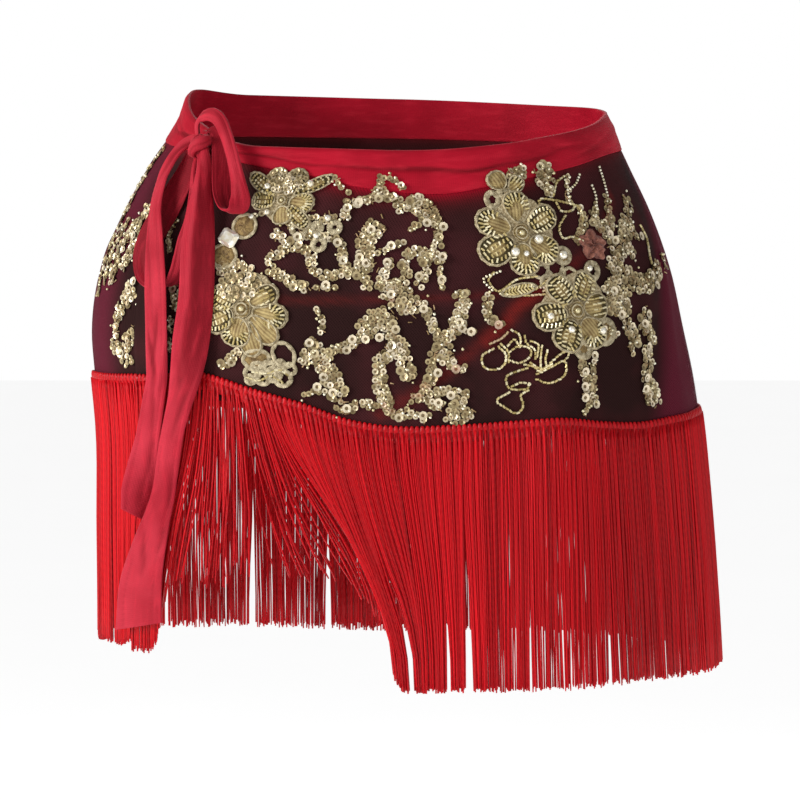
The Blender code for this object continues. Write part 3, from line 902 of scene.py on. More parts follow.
LOOP_LEFT = table("""
across level out width turn cup
-99.5 -18 10 4 -20 0.5
-101.6 -24 9.6 5 -24 0.5
-102.8 -32 9.4 6 -26 0.6
-103.6 -41 9.2 6.5 -28 0.6
-104.8 -51 9.2 7 -28 0.6
-106.6 -60 9 8 -28 0.6
-109 -68 9 9 -30 0.6
-110.8 -77 8.8 10 -34 0.6
-113.6 -85.5 8.4 10 -48 0.6
-119 -91.5 7.6 9.5 -84 0.5
-126 -91.5 7 10 -124 0.5
-132 -86 6.6 12 -152 0.5
-133 -76.5 6.4 14 -166 0.6
-130 -67.5 6.4 15.5 -172 0.6
-125.2 -59 6.4 16.5 -174 0.6
-120.4 -51 6.6 16.5 -174 0.6
-115.8 -43 7 15.5 -174 0.6
-111.6 -35 7.2 13 -172 0.6
-108 -27.5 7.6 10 -166 0.5
-105 -21.5 8.6 7 -150 0.4
-102 -18 9.4 4.4 -130 0.4
""")

LOOP_RIGHT = table("""
across level out width turn cup
-98.6 -17 11.5 5 -50 0.6
-98.8 -11.5 12.6 7 -50 0.9
-98.2 -5.5 13.2 7.6 -44 1.1
-95.6 -1.3 13.8 7.8 -36 1.2
-91 0 14.4 8 -26 1.3
-86.8 -3.4 14.8 8 -14 1.4
-84 -11 15 8 -2 1.5
-81.8 -20 15 8 6 1.6
-80.2 -29 14.8 8.4 8 1.6
-79 -38 14.2 9.2 0 1.5
-78.8 -46 13.2 11 -24 1.2
-81.6 -51.6 11.8 12.4 -72 0.8
-86.2 -49.5 9.8 13 -112 0.7
-88.6 -42 8.6 13.5 -130 0.7
-89 -32 8.2 13.5 -136 0.7
-89.2 -22 8.2 12.5 -138 0.7
-90.4 -13 8.8 9.5 -138 0.6
-92.8 -8.5 10 7 -134 0.5
-95.6 -9.5 10.8 5 -128 0.4
-97 -14 11 4.4 -124 0.4
""")
RIBBON_THICK = 1.7
RIBBON_SIDES = 40
RIBBON_STEP = 0.8
SEAM_FROM_EDGE, SEAM_LINE, SEAM_RISE, SEAM_SPREAD = 0.09, 0.17, 0.2, 0.04
SEAM_STITCH, SEAM_PUCKER = 2.7, 0.5
INSIDE_PAINTED_SHADE = 0.75  # how much of the fold colour the inner face of a loop shows, as painted shade

# Creases in each stretch, along it from the knot and across it from its middle.
TAIL_LEFT_CREASES = table("""
along down along_to down_to depth spread
0 2.5 44 0.5 -0.7 1.2
4 -2.5 36 -1.5 0.6 1.2
30 1.5 90 3.5 0.6 1.5
56 -4 118 -2 -0.5 1.5
104 3 136 -2 -0.8 1.6
118 -5 146 1 -1 1.5
126 6 152 2 0.9 1.6
138 -2 180 4 -0.6 1.5
160 -3 205 3 0.8 2.2
176 4 214 1 -0.9 1.6
""")
TAIL_RIGHT_CREASES = table("""
along down along_to down_to depth spread
14 -2.5 130 -3.4 2.2 3.2
0 -2 40 -0.5 -0.7 1.2
6 2.4 34 2 0.6 1.2
24 -2.5 82 -4.5 0.7 1.5
60 3 116 1 -0.5 1.7
96 -4 128 2 -0.8 1.6
104 6 130 0 0.8 1.6
116 -6 142 -1 -1 1.5
132 5 168 1 -0.7 1.6
150 -4 192 0 0.8 1.7
182 3 232 9 -0.7 2.2
190 -3 240 -10 0.8 2.4
214 -9 252 4 -0.6 2.4
226 12 252 2 0.7 2.2
""")
LOOP_CREASES = table("""
along down along_to down_to depth spread
0 1.5 30 0.5 -0.6 1.1
4 -2 26 -1 0.5 1.1
24 2 62 2.5 -0.5 1.3
50 -2.5 78 1 0.6 1.3
66 2 92 -2 -0.6 1.2
84 -2 120 1 0.6 1.2
96 2 128 0 -0.6 1.1
""")


TIE_STRETCHES = (
    ("tail_left", TAIL_LEFT, TAIL_LEFT_CREASES),
    ("tail_right", TAIL_RIGHT, TAIL_RIGHT_CREASES),
    ("loop_left", LOOP_LEFT, LOOP_CREASES),
    ("loop_right", LOOP_RIGHT, LOOP_CREASES),
)
ROLLED_IN = 1.1  # how much wider a stretch is flat than as it shows


def front_angle(across, level):
    """The angle at which the front of the hips' section reaches this far across."""
    wide = hip_half(across, "left", "right", level)
    cosine = np.sign(across) * np.abs(across / wide) ** (ROUNDNESS / 2)
    return 360 - np.degrees(np.arccos(cosine))


def tie_points(across, level, out):
    """Points off the hips' front, and the way out of the hips there."""
    angle = front_angle(across, level)
    points = hip_points(angle, level, out)
    return points, points - hip_points(angle, level, out - 1)


def ribbon_frame(rows):
    """The ribbon's middle line read at even steps: (run, middle, sideways, outward, width, cup)."""
    row = np.arange(len(rows["across"]), dtype=float)
    numbered = {"row": row, **rows}
    at = np.linspace(0, row[-1], 40 * len(row))
    fine, _ = tie_points(*(read(numbered, name, at) for name in ("across", "level", "out")))
    run = np.concatenate([[0], np.linalg.norm(np.diff(fine, axis=0), axis=1).cumsum()])
    even = np.linspace(0, run[-1], int(run[-1] / RIBBON_STEP))
    at = np.interp(even, run, at)
    across, level, out, width, turn, cup = (read(numbered, name, at) for name in rows)
    middle, outward = tie_points(across, level, out)
    along = unit(np.gradient(middle, axis=0))
    sideways = unit(np.cross(outward, along))
    sideways, outward = rotated(sideways, np.cross(along, sideways), turn[:, None])
    return even, middle, sideways, outward, width, cup


def ribbon_height(share, run, width, cup, rows):
    """How far the ribbon's middle surface stands from its line: the cup, a rolled seam beside both
    edges, puckered by its stitches, and the creases. share is across it, from -0.5 to 0.5."""
    seam = np.exp(-(((np.abs(share) - 0.5 + SEAM_FROM_EDGE) / SEAM_SPREAD) ** 2))
    pucker = 1 + SEAM_PUCKER * np.sin(2 * np.pi * run / SEAM_STITCH)[:, None]
    groove = np.exp(-(((np.abs(share) - 0.5 + SEAM_LINE) / SEAM_SPREAD) ** 2))
    crease = creases(rows, run[:, None], share * width[:, None])
    calm = 1 - (2 * share) ** 8
    raised = (SEAM_RISE * seam - SEAM_RISE * groove) * pucker
    return cup[:, None] * (1 - 4 * share**2) + raised + crease * calm


END_SLOPES = {"tail_right": 10.0, "tail_left": -5.0}  # mm by which a tail's cut end runs off square
END_REACH = 26
# Where a stretch's side lies turned away from the light and takes painted shade: from and to along it, from
# where across it, how much.
SHADED_SIDES = {"tail_right": (8, 160, -0.28, 0.74), "loop_left": (90, 300, -0.8, 0.9)}


def add_ribbon(name, rows, crease_rows):
    """A stretch of the tie: jersey folded flat with rounded edges, carried along its line, its end cut
    on a slope."""
    run, middle, sideways, outward, width, cup = ribbon_frame(rows)
    turn = -whole_turn(RIBBON_SIDES)
    share = 0.5 * np.sign(np.cos(turn)) * np.abs(np.cos(turn)) ** 0.85
    thick = RIBBON_THICK / 2 * np.sign(np.sin(turn)) * np.abs(np.sin(turn)) ** 0.55
    share = np.broadcast_to(share, (len(run), RIBBON_SIDES))
    height = ribbon_height(share, run, width, cup, crease_rows)
    cut_off = END_SLOPES.get(name, 0) * ease(run, run[-1] - END_REACH, run[-1])[:, None] * share
    sections = middle[:, None] + sideways[:, None] * (width[:, None] * share)[..., None]
    sections = sections + outward[:, None] * (height + thick)[..., None]
    sections = sections + np.cross(outward, sideways)[:, None] * cut_off[..., None]
    faces = [kind[:, ::-1] for kind in stack_faces(len(run), RIBBON_SIDES)]
    uv = stacked(run[:, None], share * width[:, None])
    # Painted shade: darker in the ribbon's troughs and grooves, on a loop's inner face and on a side turned
    # from the light.
    low = height - cup[:, None] * (1 - 4 * share**2)
    inside = INSIDE_PAINTED_SHADE * np.clip(-3 * np.sin(turn), 0, 1)
    first, last, side, depth = SHADED_SIDES.get(name, (0, 1, 0, 0))
    along = within(run, first, first + 14, last - 40, last)
    shaded = depth * along[:, None] * ease(share, side - 0.06, side + 0.12)
    values = {"fold": np.maximum(np.maximum(np.clip(-low * 1.1, 0, 0.85), inside), shaded)}
    return sew_on(name, sections, faces, TIE_JERSEY_LIT, "jersey", "tie_" + name, uv=uv, values=values)


KNOT_MIDDLE = {"across": -98.4, "level": -17.2, "out": 12.8}
KNOT_HALF = {"across": 5.6, "level": 6.6, "out": 5.2}
KNOT_WRAP = {"lean": 35, "rise": 0.34, "spread": 0.46}
KNOT_STEPS_DOWN, KNOT_STEPS_ROUND = 60, 72
KNOT_WAVE, KNOT_FOLD_SHADE = 0.1, 9  # how far the folds wander, and how fast the painted shade in them deepens

# Folds of the knot's last turn: how far each lies off its middle, its depth and its spread.
KNOT_FOLDS = table("""
off depth spread
-0.66 -0.22 0.1
-0.2 -0.05 0.06
0.1 0.03 0.1
0.3 -0.06 0.06
0.62 -0.24 0.1
0.9 0.04 0.1
""")


def add_knot():
    """The knot: an egg with the ribbon's last turn leaning across it, gathered in narrow folds, with painted
    shade in their hollows.
    """
    down = np.radians(np.linspace(0, 180, KNOT_STEPS_DOWN + 1)[1:-1])[:, None]
    around = np.radians(np.arange(KNOT_STEPS_ROUND) * 360 / KNOT_STEPS_ROUND)
    x, y = np.sin(down) * np.cos(around), np.sin(down) * np.sin(around)
    z = np.cos(down) + 0 * around
    lean = np.radians(KNOT_WRAP["lean"])
    off = z * np.cos(lean) - x * np.sin(lean)
    turned = off[..., None] + KNOT_WAVE * np.sin(3 * around)[..., None]
    folds = KNOT_FOLDS["depth"] * np.exp(-(((turned - KNOT_FOLDS["off"]) / KNOT_FOLDS["spread"]) ** 2))
    folds = folds.sum(-1) * np.sin(down) ** 0.5
    swell = 1 + KNOT_WRAP["rise"] * np.exp(-((off / KNOT_WRAP["spread"]) ** 2)) + folds
    middle, outward = tie_points(*(KNOT_MIDDLE[name] for name in ("across", "level", "out")))
    ahead = unit(outward)
    sideways = unit(np.cross(ahead, (0, 0, 1)))
    upward = np.cross(sideways, ahead)
    ball = middle - (swell * x * KNOT_HALF["across"])[..., None] * sideways
    ball = ball + (swell * y * KNOT_HALF["out"])[..., None] * ahead
    ball = ball + (swell * z * KNOT_HALF["level"])[..., None] * upward
    poles = [middle + sign * KNOT_HALF["level"] * upward for sign in (1, -1)]
    rings, columns = ball.shape[:2]
    beside = (np.arange(columns) + 1) % columns
    here, low, pole = np.arange(columns), (rings - 1) * columns, rings * columns
    top, base = stacked(pole, beside, here), stacked(pole + 1, low + here, low + beside)
    # Painted shade in the folds' hollows.
    fold = np.append(np.clip(-folds * KNOT_FOLD_SHADE, 0, 0.9), [0, 0])
    uv = stacked(off * 9, around * 6).reshape(-1, 2)
    uv = np.concatenate([uv, uv[:2]])
    points = np.concatenate([ball.reshape(-1, 3), poles])
    faces = [grid_faces(rings, columns, ring=True), top, base]
    return sew_on("knot", points, faces, TIE_JERSEY_LIT, "jersey", "tie_knot", uv=uv, values={"fold": fold})


# -------- the braid and the fringe

# How the fringe falls: how far a cord's tip is carried round the hips, its level and its fullness.
FALL = table("""
angle lean tip full
217 -7 -294 1
227 -12 -288 1
231.5 -19 -274 0.95
234.5 -23.5 -264 0.8
236 -23 -258 0.7
237.2 -12.4 -250 0.5
238.2 -6 -250 0.55
239.2 -2.6 -250 0.6
240.2 -2.4 -250 0.55
242.1 2 -246 0.55
243.4 5.4 -246 0.5
244.4 18.5 -243 0.45
245.8 27.5 -244.5 0.6
247 28.6 -245 0.55
248.2 33 -246 0.5
249.1 41.5 -254.6 0.7
249.7 44.5 -260 0.85
250.5 51 -272 1
252.5 49 -282 1
255.1 44 -299 1
258.6 37 -307 1
262 30.5 -309 1
265 25 -309 1
268 20.5 -309 1
270.5 16.5 -309 1
273 10.8 -309 1
276 5.5 -309 1
279.5 2 -309 1
284 0 -309 1
320 0 -308 1
360 0 -308 1
405 0 -310 1
450 0 -311 0.95
495 0 -304 0.95
540 0 -295 1
560 0 -292 1
570 -1 -290 1
580 -7 -270 1
588 -11 -260 1
""")

# Partings low in the fringe: the angle of each, how far down it opens and how wide.
PARTINGS = table("""
angle opens wide
263.8 0.66 3.2
275.4 0.76 2.6
279.6 0.44 4.4
291 0.8 1.6
307 0.7 2.2
334 0.6 2.2
341 0.78 2.4
349 0.5 2.6
372 0.7 3
396 0.55 3.4
423 0.75 3
447 0.6 4
462 0.7 3.4
478 0.5 4.2
503 0.72 3.4
528 0.6 3
551 0.75 2
562 0.62 2
""")
PARTING_REACH = 7.0
HEM_SAMPLES = 2000
BRAID_DEEP, BRAID_THICK, BRAID_INNER = 9.0, 1.3, 0.6
RIB_PITCH, RIB_STEPS = 2.8, 6
SCALLOP_RISE, SCALLOP_DIP = 1.5, 0.8
GROOVE_FROM, GROOVE_DEEP = (536, 545), 0.7  # a groove along the braid's last stretch: degrees, mm
CORDS_ROUND = 2200
CORD_RADIUS, CORD_TIP_RADIUS = 0.54, 0.46
CORD_STATIONS = 12
CORD_CROWDED = 1.35  # how much closer a cord's stations lie at its root
LEAN_CURVE, LOOSE_CURVE = 1.6, 1.33
LOCK_PITCH = 2.8
ROOT_BELOW_EDGE = 3.2

# How single cords stray. The second number of each pair is what a loose fringe adds.
TIP_UNEVEN = (1.2, 2.5)  # mm
LOCK_SWAY = (0.7, 8)  # mm at the tip
LOCK_LIFT = (0.5, 3)  # mm out
STRAYS, STRAY_REACH = (0.03, 0.22), 4  # their share, and mm at the tip
DRAWN_IN, DRAWN_FIRMLY = (0.05, 0.3), 0.34  # share of its way that a cord goes to its lock's middle
LOCKS_UNEVEN, LOCKS_REPEAT = 0.3, 9.1  # share of a lock, mm of hem
CORD_ASIDE = 0.05  # degrees off its even place
TONE_DRIFT, TONE_EACH, UNDER_LAYER_SHADE = 0.22, 0.24, 0.35  # how the cords' shades of red differ, and how much painted shade the under layer takes
LAYER_OUT, LAYERS_APART, CORD_UNEVEN, RIB_ROUND = 0.7, 0.8, 0.5, 0.9  # mm


def even_angles(count):
    """So many angles, even along the hem, and the hem's length."""
    angle = np.linspace(WRAP_START, WRAP_END, HEM_SAMPLES)
    run = cloth_run(angle, read(WRAP, "braid_top", angle))
    return np.interp(np.linspace(0, run[-1], count), run, angle), run[-1]


def add_braid():
    """The braid: a strip with a rib for each loop of gimp, its upper edge in small scallops and its
    lower half thinning into the cords."""
    _, length = even_angles(2)
    ribs = int(length / RIB_PITCH)
    angle, _ = even_angles(ribs * RIB_STEPS + 1)
    step = np.arange(len(angle)) / RIB_STEPS
    rib = np.abs(np.sin(np.pi * step))[:, None]
    down = np.linspace(0, 1, 11)
    edge = read(WRAP, "braid_top", angle)[:, None]
    top = edge + SCALLOP_RISE * rib**0.6 - SCALLOP_DIP
    level = top + (edge - BRAID_DEEP - top) * down
    round_back = np.sin(np.pi / 2 * np.clip(0.2 + 3.2 * down, 0, 1)) ** 0.5
    swell = BRAID_THICK * round_back * (1 - 0.62 * ease(down, 0.3, 1))
    groove = ease(angle, *GROOVE_FROM)[:, None] * (ease(down, 0.5, 0.6) - ease(down, 0.6, 1)) * GROOVE_DEEP
    out = BRAID_INNER + swell + 0.4 * rib * (1 - 0.4 * down) - groove
    face = cloth_points(angle[:, None], level, out)
    points, faces = shell(face, cloth_points(angle[:, None], level, BRAID_INNER))
    uv = both_sides(stacked(-level, step[:, None] * RIB_PITCH))
    random = np.random.default_rng(SEED)
    tone = np.repeat(random.random(ribs + 1), RIB_STEPS)[: len(angle)]
    # Each rib of gimp has its own random tone, and its crest is painted lighter as a highlight.
    shade = np.clip(0.15 + 0.4 * tone[:, None] + 0.4 * (rib - 0.6), 0, 1) + 0 * level
    # Painted shade between the ribs and in the groove.
    deep = np.clip((1 - rib) ** 2 * 0.9 + 0.8 * groove, 0, 1) + 0 * level
    values = {"shade": both_sides(shade), "deep": both_sides(deep)}
    return sew_on("fringe_braid", points, [faces], BRAID, "cord", "fringe_trim", uv=uv, values=values)


def cord_paths(angle, hem_run, under, random):
    """The fringe's cords, an array of cords by stations by 3. Each leans with its place on the hem, is
    drawn to the middle of its lock and away from the partings, and sways a little on its own. Where
    the fringe is thin its locks run straighter and fray apart at their ends. under is 1 for a cord of
    the under layer, whose locks lie between those of the upper one."""
    count = len(angle)
    down = np.linspace(0, 1, CORD_STATIONS) ** CORD_CROWDED
    full = read(FALL, "full", angle)[:, None]
    loose = np.clip((1 - full) / 0.4, 0, 1)

    def more(pair):
        return pair[0] + pair[1] * loose

    root = read(WRAP, "braid_top", angle)[:, None] - ROOT_BELOW_EDGE
    tip = read(FALL, "tip", angle)[:, None]
    tip = tip + np.clip(random.normal(0, 1, (count, 1)), -1.6, 1.6) * more(TIP_UNEVEN)
    level = root + (tip - root) * down
    heavy = np.sin(np.pi / 2 * down) ** LEAN_CURVE
    lean = read(FALL, "lean", angle)[:, None] * (heavy + (down**LOOSE_CURVE - heavy) * loose)
    place = hem_run / LOCK_PITCH + 0.5 * under + LOCKS_UNEVEN * np.sin(hem_run / LOCKS_REPEAT)
    lock_id = np.floor(place).astype(int)
    short = (0.5 - np.mod(place, 1))[:, None] * LOCK_PITCH
    random_lock = random.uniform(0, 1, (lock_id.max() + 1, 3))[lock_id]
    pull = short * (more(DRAWN_IN) + DRAWN_FIRMLY * random_lock[:, :1])
    parting = MM_PER_DEGREE * (angle[:, None] - PARTINGS["angle"])
    pushed = np.sign(parting) * np.exp(-np.abs(parting) / PARTING_REACH) * PARTINGS["wide"] / 2
    opened = (pushed[:, None] * ease(down[:, None], PARTINGS["opens"] - 0.25, 1.0)).sum(-1)
    gather = ease(down, 0.02, 0.45)
    phase = random.uniform(0, 2 * np.pi, (count, 2))[..., None]
    sway = 0.5 * np.sin(5.2 * down + phase[:, 0]) + 0.25 * np.sin(11 * down + phase[:, 1])
    lock_sway = (random_lock[:, 1:2] - 0.5) * more(LOCK_SWAY) * down**2.4
    stray = (random.random((count, 1)) < more(STRAYS)) * random.normal(0, STRAY_REACH, (count, 1))
    across = lean + pull * gather + opened + lock_sway + stray * (0.2 + 0.8 * loose) * down**2.5
    across = across + sway * ease(down, 0.1, 0.6) * (0.35 + loose)
    rib = 0.5 - np.mod(hem_run / RIB_PITCH, 1)[:, None]
    across = across + rib * RIB_PITCH * 0.5 * (1 - ease(down, 0.0, 0.14))
    out = LAYER_OUT + LAYERS_APART * (1 - under[:, None]) + CORD_UNEVEN * random.random((count, 1))
    out = out + RIB_ROUND * (0.5 - np.abs(rib)) * (1 - ease(down, 0.0, 0.3)) + 0.35 * sway * down
    out = out + (random_lock[:, 2:] - 0.4) * more(LOCK_LIFT) * ease(down, 0.1, 0.8)
    return slid_points(angle[:, None], level, np.maximum(out, 0.2), across)


def add_fringe():
    """Two layers of cords that hang from the braid, as two pieces."""
    random = np.random.default_rng(SEED + 1)
    angle, length = even_angles(CORDS_ROUND + 2)
    angle = angle[1:-1] + random.normal(0, CORD_ASIDE, CORDS_ROUND)
    hem_run = np.linspace(0, length, CORDS_ROUND)
    kept = random.random(CORDS_ROUND) < read(FALL, "full", angle)
    under = np.arange(CORDS_ROUND) % 2
    angle, hem_run, under = angle[kept], hem_run[kept], under[kept]
    middle = cord_paths(angle, hem_run, under, random)
    away = unit(middle * (1, 1, 0))
    down = np.linspace(0, 1, CORD_STATIONS)
    count = len(angle)
    radius = CORD_RADIUS + (CORD_TIP_RADIUS - CORD_RADIUS) * down + np.zeros((count, 1))
    slow = 0.5 + TONE_DRIFT * np.sin(hem_run / 17) * np.sin(hem_run / 41 + 1)
    shade = np.clip(slow + random.normal(0, TONE_EACH, count), 0, 1)
    # Painted shade: some cords at random, and the under layer more, darker as if in the shadow of the others.
    deep = np.clip(random.normal(-0.25, 0.5, count) + UNDER_LAYER_SHADE * under, 0, 1)
    pieces = []
    for side, name in enumerate(("fringe_upper_layer", "fringe_under_layer")):
        own = under == side
        points, faces, uv = tubes(middle[own], away[own], radius[own], radius[own], 4)
        count = CORD_STATIONS * 4
        uv[..., 0] += random.uniform(0, 40, len(middle[own]))[:, None, None]
        values = {"shade": np.repeat(shade[own], count), "deep": np.repeat(deep[own], count)}
        pieces.append(sew_on(name, points, faces, CORDS, "cord", "fringe_trim", uv=uv, values=values))
    return pieces


# -------- the embroidery

# Sewn lines of sequins in one repeat: the band's width in mm, then angle and level along it.
SEQUIN_BANDS = sewn_lines("""
7: 248.5 -64, 251.5 -67, 251.5 -72, 249 -77, 249 -82, 251 -86, 254 -91, 256 -92
2.5: 258 -92, 260 -92, 261 -92
5.5: 253 -71, 256 -73, 257 -82, 259 -86, 261 -86, 263 -84, 262 -78, 262 -73, 261 -68
6: 263 -85, 265 -85, 266 -88, 266 -92
7: 251.8 -58.5, 255.8 -57, 260 -56
6: 254 -64.5, 257 -65, 260.5 -65
3: 243 -54.5, 246 -52.5
3: 247 -55, 251 -58
5: 262 -55, 262 -49, 264 -47, 267 -44, 268 -38, 268 -34
3: 269 -34, 270 -36, 271 -40
6.5: 267.5 -42, 270 -46, 270.5 -50, 272 -48
13: 272.4 -46, 275 -52, 276 -57
7: 277 -58, 277 -64, 276.5 -71, 275 -76
2.5: 272 -61, 273.5 -59
12.5: 267.6 -59, 266.5 -64, 265.6 -70, 265.8 -77, 265.5 -82
4: 268 -74, 270 -70, 271 -69
5.5: 269.5 -79, 268.5 -85, 268 -90, 270 -92, 271.5 -86, 271 -81, 271.5 -76, 273 -73, 275 -74, 277.5 -77
4.5: 274 -77, 274.5 -82, 273.5 -90
3: 277 -79, 277 -86, 277 -93
4: 259.5 -34, 260.5 -38, 261.8 -41
15: 268.8 -90, 270 -96, 271.5 -100, 272 -105
7: 274 -101, 275 -110, 276 -117, 278 -119, 279 -116
13: 277 -120, 277 -126, 276 -130
6: 278 -130, 279 -136, 280 -136
5: 275 -132, 275 -140, 274 -146
8: 279 -116, 280 -109, 280.5 -102
5: 281 -101, 281 -96
5: 280 -112, 282 -116
11: 269 -106, 267 -110, 266 -115
6: 265.5 -117, 264 -122, 263 -124, 261 -126, 260 -130
9.5: 269 -110, 269.5 -117, 270.5 -124
9.5: 270 -126, 268 -132, 268 -138, 268 -145, 268.5 -150, 269 -155
8: 270.5 -126, 271 -130, 271 -136, 272 -140
4: 258 -104, 259 -110, 259 -116
9: 258 -122, 257 -126, 256 -132
10.5: 258 -128, 259.5 -134, 260.5 -140, 261 -146, 261.5 -150
3: 256 -150, 258 -148, 259.5 -148
7: 261.5 -155, 263 -158, 264.5 -156, 267 -154, 269 -155
5.5: 269 -156, 270 -160, 272 -160, 274 -162
7: 272 -152, 274.5 -150, 276 -148, 278 -148
9: 275 -152, 276 -156
7.5: 280 -148, 280 -152, 279 -156, 278 -162, 281 -160
6.5: 195 -19, 194 -28, 193 -40, 193 -54, 193 -65, 193 -76, 193 -88, 194 -99
8.5: 208 -50, 208 -55, 205.8 -60, 203 -67, 202 -74.5, 202.2 -82, 203 -91
8.5: 205 -60, 208 -68.5, 207.8 -75.5, 206 -83
6.5: 199.5 -58, 198 -68, 197.5 -80, 198 -92
12: 212.4 -94.5, 210.8 -102
9: 209 -105, 207.6 -112
7: 207 -115, 208 -121
10: 219.5 -116, 215 -120, 211.5 -125
11: 208 -125, 207.4 -130
12: 211 -129, 211.5 -135
6: 228 -92, 228.8 -98, 229 -104
3: 228 -110, 228.5 -117
3: 227.6 -122, 228.2 -127
3: 215 -23, 216 -31, 216 -36
3: 223.5 -58, 223 -66, 224.5 -74
5.5: 294 -31, 297.8 -30.5
3.5: 295 -34, 297.5 -34.5
10.5: 303 -29.5, 304.3 -33, 302.6 -38
4.5: 304.8 -27, 305.6 -31
4.5: 304.4 -38, 303.8 -43
4: 311 -34, 309.8 -41, 309.2 -47
4.5: 311.8 -50, 312 -57, 310.5 -62, 308.5 -67.5
4.5: 318 -50, 316 -55
8: 314.5 -57, 316.5 -58.5, 317 -62
6: 323 -46, 321 -57
9: 320.3 -59, 318.2 -68
7.5: 333 -45.5, 330.8 -53, 326 -60
12: 326.5 -62, 322.5 -71, 319.5 -76.5, 317.5 -85
8: 324.8 -70, 326 -76
12.5: 316.2 -89.5, 317.5 -95.5, 317.2 -102, 318.5 -109
8: 314.2 -92.5, 315.2 -101
8: 319.2 -112.5, 319.8 -118, 321 -121
5: 320.4 -123, 319.2 -128
10.5: 321.5 -83, 322 -89, 327 -91.5, 333 -89, 338.5 -85
6.5: 343 -77.5, 343.5 -83
5: 327.5 -95, 330 -95
9.5: 326.4 -108, 324.2 -115, 326.8 -121
5: 326.5 -117, 327.5 -124
8: 324.2 -126.5, 324 -136, 322.4 -143.5, 323.2 -157
4.5: 325 -147, 325.2 -156
4.5: 329.6 -60.5, 330.2 -67
7: 304.6 -133, 304.6 -141.5, 305.2 -149.5, 305.8 -156
4: 307.6 -133.5, 307 -142, 306.8 -149.5, 306.8 -155
3: 304.8 -157.5, 303.5 -161
5: 286 -97, 285 -104, 286 -110, 287.5 -113
4: 279.5 -96, 281 -96, 281 -104, 278.5 -110
6: 308.5 -125, 311.5 -114, 315 -119
8: 313 -104, 318 -106, 320 -97
8: 238 -83, 241.5 -81.5, 245 -83.5
5: 247 -87, 249.6 -93, 249.6 -99
5: 240 -135, 242 -131.5, 243.6 -128
""")

# Threaded strings in one repeat, of fine bugles end to end and of small beads.
BUGLE_STRINGS = sewn_lines("""
305 -43.5, 307.2 -36.5, 310 -33.5
300.2 -48.5, 301 -45.5, 304.2 -46, 306.8 -47, 310.8 -49, 312 -52.5, 311.8 -56.5
305.2 -48, 306 -52, 308.8 -52, 310.2 -50
306.5 -55, 304.2 -60.5, 304.5 -66.5, 307 -66, 309 -67.5
287 -85, 286 -89, 287.8 -94.5, 291.8 -88.5, 296 -87
288.2 -96, 292.8 -97, 297.2 -96.5
245.4 -141, 247.6 -142.5, 250 -140, 252 -143
246.6 -138, 249.4 -138.5, 251.4 -136.5, 253 -139
285.8 -125.5, 283.8 -129, 284 -135, 286 -136.5, 287.8 -134, 288.2 -128.5, 287 -124.5
287.5 -123, 288.7 -127, 288.7 -132
289 -127, 290.8 -124, 292.8 -125, 293.3 -128, 292.2 -131.5, 290.5 -133, 288.8 -131.5
288.8 -123.5, 290 -120.5, 291 -124
289.8 -115.5, 291 -117.5, 291.3 -121, 291 -124
292.2 -119, 292.5 -122.5, 294 -126, 294 -130.5
293.5 -121.5, 294.9 -123.5, 294.4 -129.5
295.6 -124.5, 295 -131, 294.8 -136.5
296.6 -127, 296 -131, 296 -135
297 -133, 299.2 -129, 301.8 -126
294 -139, 297.5 -134.8, 300 -132.5, 300.2 -138, 298.6 -142, 296 -144, 293.8 -142
301.8 -127, 300.7 -131, 300 -132.5
291.8 -134, 293.5 -135.2, 294.4 -137.4, 296.4 -135
293 -133.2, 294.8 -136.2, 297 -134
292 -136, 290.2 -137.5, 288.2 -140, 288 -144, 288.8 -147, 291.6 -147, 292.2 -144.5
289 -145.5, 290.8 -143.5, 292.2 -144.5
288.2 -149, 286 -153, 287.5 -157, 289.5 -160, 290.8 -156, 290.5 -150.5, 291.8 -148
288.8 -117, 287.5 -120, 285.5 -122.5
334.8 -61, 335.5 -67.5, 333.8 -77, 333.5 -81
295.8 -93.5, 300 -86.5
297.4 -94.6, 301.8 -88
299.2 -95, 303.4 -89.6
""")
BEAD_STRINGS = sewn_lines("""
234 -33, 235 -37, 236 -42
310 -33.5, 310.2 -39.5, 309.8 -41, 309.2 -46.5
315.8 -32.5, 313.2 -37.5, 309.8 -41
319 -38.5, 318.8 -45, 316.5 -54.5
325.5 -28.5, 324.8 -36.5, 323.8 -44
288.5 -84, 285 -88, 286.5 -94
289 -93.5, 293 -92, 297.5 -93
""")

# Single large sequins in one repeat.
LARGE_SEQUINS = sewn_places("""
262.2 -50, 264.2 -47, 264 -48, 266.5 -61.5, 253.5 -65.5, 261 -68.5, 262.2 -78, 259.5 -91, 278 -60,
275 -58, 269.5 -70, 269 -79, 277.5 -76, 264 -120, 280 -111, 282 -116, 287.2 -112.5, 268 -119, 279 -136,
278 -150, 276 -154, 276 -138, 257 -122, 263 -157, 269.5 -96, 258.2 -145.5, 260.8 -148.5, 304.8 -138.5,
304.2 -146.5, 304 -152.5, 307.8 -130, 305.2 -125.5, 332.5 -66.5, 333 -93.5, 316 -95.5, 324.5 -114,
321.4 -149.5, 326.4 -109, 324.4 -126.5, 322.2 -143.5, 317.5 -108.5, 319 -65, 213 -91, 229 -67, 216.2 -24,
228 -94, 207 -66
""")

